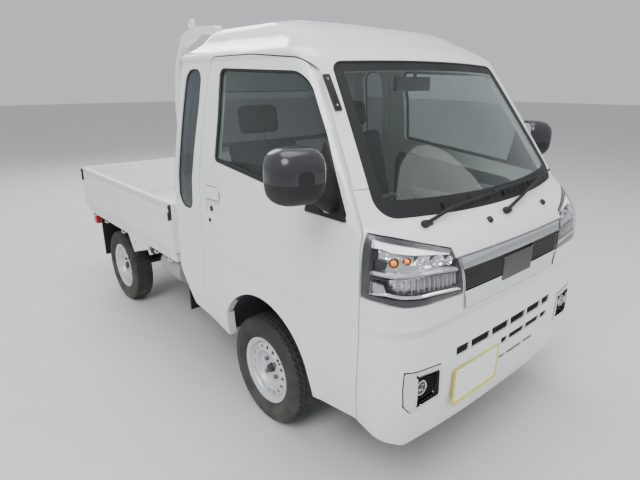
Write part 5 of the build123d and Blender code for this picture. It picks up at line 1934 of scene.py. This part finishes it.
@dataclass
class Cushion:
    """A padded block, swollen by a short cloth run and copied for both seats."""

    name: str
    centre: Point
    size: Point
    corner: float
    lean: float
    cap: float
    voxel: float = 0.006
    pressure: float = 4.0
    frames: int = 20
    seat_x: float = SEAT_X
    smoothings: int = 6

    def build(self) -> None:
        """Build the pad for both seats."""
        turn = Matrix.Rotation(math.radians(self.lean), 3, "X")
        start = Shape().block(self.centre, self.size, self.corner, turn)
        mesh = self.swollen(start)
        for side, label in ((-1, "right"), (1, "left")):
            data = mesh.copy()
            data.transform(Matrix.Translation((side * self.seat_x, 0.0, 0.0)))
            data.materials.append(SEAT_CLOTH.material())
            pad = put(f"{self.name}_{label}", data)
            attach(pad, "chassis")
            if label == "right" and self.name == "seat_cushion":
                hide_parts("seats")
            LOG.info("padded %s with %d faces", pad.name, len(data.polygons))

    def swollen(self, shape: Shape) -> bpy.types.Mesh:
        """Return the block's mesh after it has swollen.

        Args:
            shape: The block to start from.

        Returns:
            The crowned mesh.
        """
        mesh = bpy.data.meshes.new(self.name)
        mesh.from_pydata([tuple(point) for point in shape.points], [], shape.faces)
        pad = put(f"{self.name}_start", mesh)
        remesh = pad.modifiers.new("fine", "REMESH")
        remesh.mode = "VOXEL"
        remesh.voxel_size = self.voxel
        fine = self.applied(pad)
        pad.modifiers.clear()
        pad.data = fine
        before = [vertex.co.copy() for vertex in fine.vertices]
        cloth = pad.modifiers.new("pad", "CLOTH")
        cloth.settings.use_pressure = True
        cloth.settings.uniform_pressure_force = self.pressure
        cloth.settings.effector_weights.gravity = 0.0
        cloth.point_cache.frame_start = 1
        cloth.point_cache.frame_end = self.frames
        for number in range(1, self.frames + 1):
            bpy.context.scene.frame_set(number)
        swollen = self.applied(pad)
        pad.modifiers.clear()
        for vertex, start in zip(swollen.vertices, before):
            move = vertex.co - start
            if move.length > self.cap:
                vertex.co = start + move.normalized() * self.cap
        pad.data = swollen
        bpy.context.scene.frame_set(1)
        smooth = pad.modifiers.new("smooth", "SMOOTH")
        smooth.iterations = self.smoothings
        pad.modifiers.new("finer", "SUBSURF").levels = 1
        done = self.applied(pad)
        done.shade_smooth()
        bpy.data.objects.remove(pad)
        return done

    @staticmethod
    def applied(pad: bpy.types.Object) -> bpy.types.Mesh:
        """Return a new mesh of an object with its modifiers applied."""
        bpy.context.view_layer.update()
        graph = bpy.context.evaluated_depsgraph_get()
        return bpy.data.meshes.new_from_object(pad.evaluated_get(graph))


CUSHIONS = (
    Cushion("seat_cushion", (0.0, -0.79, 0.762), (0.44, 0.43, 0.1), 0.038, 4.0, 0.022),
    Cushion("seat_back", (0.0, -0.432, 1.07), (0.43, 0.085, 0.52), 0.036, -15.5, 0.024),
    Cushion("seat_rest", (0.0, -0.332, 1.42), (0.235, 0.07, 0.15), 0.03, -12.0, 0.016),
)


@dataclass
class Cabin:
    """Dashboard fittings, wheel cover, levers and the seats' posts."""

    hub: Point = (-SEAT_X, -1.12, 1.035)
    tilt: float = 50.0
    # one restraint post's line as y and z
    post: Line = ((-0.36, 1.31), (-0.345, 1.36), (-0.335, 1.4))
    post_gap: float = 0.05
    vents_x: Row = (-0.6, -0.13, 0.13, 0.6)
    vent_half: float = 0.05
    vent_z: Flat = (0.985, 1.04)
    vent_slats: int = 4
    slat_from: float = 0.995
    slat_pitch: float = 0.0115
    slat_half: float = 0.046
    # x from, x to, z from, z to of the radio, the heater's panel and the glove box
    panels: tuple[Box, ...] = (
        (-0.1, 0.1, 0.905, 0.965), (-0.1, 0.1, 0.83, 0.893), (0.25, 0.6, 0.82, 0.95),
    )
    knobs_x: Row = (-0.06, 0.0, 0.06)
    knob_z: float = 0.862
    dials_x: Row = (-0.42, -0.345, -0.27)
    dial_yz: Flat = (-1.292, 1.085)
    pedals_x: Row = (-0.45, -0.36, -0.25)
    pedal_turn: float = -0.5

    def build(self) -> None:
        """Build the cabin's fittings."""
        for cushion in CUSHIONS:
            cushion.build()
        self.seat_frames()
        self.dash()
        self.controls()

    def seat_frames(self) -> None:
        """Build the head restraints' posts and the cushions' bases."""
        posts, bases = Shape(), Shape()
        for seat in (-SEAT_X, SEAT_X):
            for side in (-self.post_gap, self.post_gap):
                posts.tube([(seat + side, y, z) for y, z in self.post], 0.006, 12)
            bases.block((seat, -0.77, 0.7), (0.4, 0.4, 0.03), 0.008)
        posts.piece("rest_posts", CHROME)
        bases.piece("seat_bases", CABIN_DARK)

    def dash(self) -> None:
        """Build vents, dials, a blank radio, knobs and the glove box lid."""
        chart = Chart(["dashboard"], FROM_SEATS)
        vents, slats = Shape(), Shape()
        for x in self.vents_x:
            outline = rectangle(x - self.vent_half, x + self.vent_half, *self.vent_z, 0.012)
            chart.strip(vents, outline, (0.0, -0.006), (-0.008, 0.001), loop=True)
            for index in range(self.vent_slats):
                z = self.slat_from + self.slat_pitch * index
                run = ((x - self.slat_half, z), (x + self.slat_half, z))
                chart.strip(slats, run, (-0.0012, 0.0012), (-0.006, 0.001))
        vents.piece("dash_vents", CABIN_GREY)
        slats.piece("dash_slats", TRIM_BLACK)
        panel = Shape()
        for box in self.panels:
            chart.patch(panel, rectangle(*box, 0.012), (-0.006, 0.001), step=0.04)
        panel.piece("dash_panels", TRIM_BLACK)
        knobs = Shape()
        knob = ((0.0, 0.022), (0.012, 0.021), (0.015, 0.016), (0.017, 0.0), (0.0, 0.0))
        for x in self.knobs_x:
            knobs.turned(knob, chart.at(x, self.knob_z, -0.006), (0, 1, 0), steps=24)
        knobs.piece("dash_knobs", CABIN_GREY)
        dials = Shape()
        dial = ((0.034, 0.0), (0.034, 0.012), (0.031, 0.014), (0.03, 0.004), (0.004, 0.003),
                (0.004, 0.0))
        for x in self.dials_x:
            dials.turned(dial, (x, *self.dial_yz), (0, 0.94, 0.34), steps=32, closed=True)
        dials.piece("dash_dials", CABIN_GREY)

    def controls(self) -> None:
        """Build the steering wheel's cover, the stalks, the gear lever and the pedals."""
        tilt = math.radians(self.tilt)
        axis = Vector((0, math.cos(tilt), math.sin(tilt)))
        cover = Shape()
        pad = ((0.0, 0.034), (0.03, 0.032), (0.052, 0.024), (0.06, 0.01), (0.056, 0.0), (0.0, 0.0))
        cover.turned(pad, self.hub, axis, steps=36)
        cover.piece("wheel_cover", CABIN_DARK, "steering")
        levers = Shape()
        root = Vector(self.hub) - axis * 0.1
        stalk = ((0.028, 0, 0), (0.09, 0.004, 0.01), (0.16, 0.018, 0.03))
        for side in (-1, 1):
            levers.tube([root + Vector((side * x, y, z)) for x, y, z in stalk], 0.006, 10)
        levers.tube(((0.0, -1.27, 0.79), (0.0, -1.2, 0.86), (0.0, -1.15, 0.94)), 0.008, 12)
        levers.block((0.0, -1.143, 0.955), (0.04, 0.044, 0.055), 0.016)
        lean = Matrix.Rotation(self.pedal_turn, 3, "X")
        for x in self.pedals_x:
            levers.block((x, -1.45, 0.52), (0.06, 0.02, 0.07), 0.006, lean)
            levers.tube(((x, -1.462, 0.54), (x, -1.5, 0.64), (x, -1.51, 0.74)), 0.006, 8)
        levers.piece("cabin_levers", TRIM_BLACK)


# Studio


@dataclass(frozen=True)
class SoftBox:
    """One area light, aimed at a point."""

    name: str
    place: Point
    aim: Point
    size: float
    power: float
    mirrored: bool = True


@dataclass
class Studio:
    """Floor, lights and the photograph's camera."""

    eye: Point = (-1.8673, -2.5870, 1.6093)
    yaw: float = math.radians(41.0)
    pitch: float = math.radians(-17.97)
    lens: float = 27.36
    floor_half: float = 40.0
    floor_color: Colour = (0.62, 0.62, 0.61)
    sky_color: Colour = (0.82, 0.86, 0.9)
    sky_strength: float = 0.75
    boxes: tuple[SoftBox, ...] = (
        SoftBox("key_box", (-4.5, -3.0, 6.0), (0.0, -0.6, 0.8), 4.0, 380.0),
        SoftBox("fill_box", (4.0, -5.5, 4.0), (0.0, -0.8, 0.8), 4.0, 160.0, mirrored=False),
        SoftBox("rear_box", (1.0, 6.0, 5.0), (0.0, 0.6, 0.6), 4.0, 260.0),
        SoftBox("top_box", (0.0, 0.0, 7.0), (0.0, 0.0, 0.0), 5.0, 220.0),
    )

    def camera(self) -> None:
        """Set the camera where the photograph was taken from."""
        ahead = Vector((
            math.sin(self.yaw) * math.cos(self.pitch),
            math.cos(self.yaw) * math.cos(self.pitch),
            math.sin(self.pitch),
        ))
        data = bpy.data.cameras.new("photo_camera")
        data.lens = self.lens
        data.sensor_width = 36.0
        data.clip_end = 200.0
        camera = put("photo_camera", data)
        camera.location = self.eye
        camera.rotation_euler = ahead.to_track_quat("-Z", "Y").to_euler()
        bpy.context.scene.camera = camera

    def floor(self) -> None:
        """Lay the plain pale floor."""
        half = self.floor_half
        corners = [(-half, -half, 0), (half, -half, 0), (half, half, 0), (-half, half, 0)]
        mesh = bpy.data.meshes.new("floor")
        mesh.from_pydata(corners, [], [(0, 1, 2, 3)])
        mesh.materials.append(Finish("floor_pale", self.floor_color, 0.7, tone=0.03).material())
        slab = put("floor", mesh)

    def lights(self) -> None:
        """Hang the soft boxes and set the sky."""
        for row in self.boxes:
            data = bpy.data.lights.new(row.name, "AREA")
            data.shape = "DISK"
            data.size = row.size
            data.energy = row.power
            lamp = put(row.name, data)
            lamp.visible_glossy = row.mirrored
            lamp.location = row.place
            aim = Vector(row.aim) - Vector(row.place)
            lamp.rotation_euler = aim.to_track_quat("-Z", "Y").to_euler()
        world = bpy.data.worlds.new("studio_sky")
        world.use_nodes = True
        backdrop = world.node_tree.nodes["Background"]
        backdrop.inputs["Color"].default_value = (*self.sky_color, 1.0)
        backdrop.inputs["Strength"].default_value = self.sky_strength
        bpy.context.scene.world = world

    def build(self) -> None:
        """Build the whole studio."""
        self.floor()
        self.lights()
        self.camera()
        LOG.info("studio is set")


def main() -> None:
    """Build the dressed truck."""
    logging.basicConfig(level=logging.INFO, format="%(name)s: %(message)s")
    Studio().build()
    dress_cad()
    for part in (
        Headlamps(), Grille(), FogPods(), BumperFace(), WiperDetails(), GlassTrim(), PillarStrip(),
        DoorDetails(), Mirrors(), BedDetails(), RearFace(), *WHEELS, Cabin(),
    ):
        part.build()


if __name__ == "__main__":
    main()
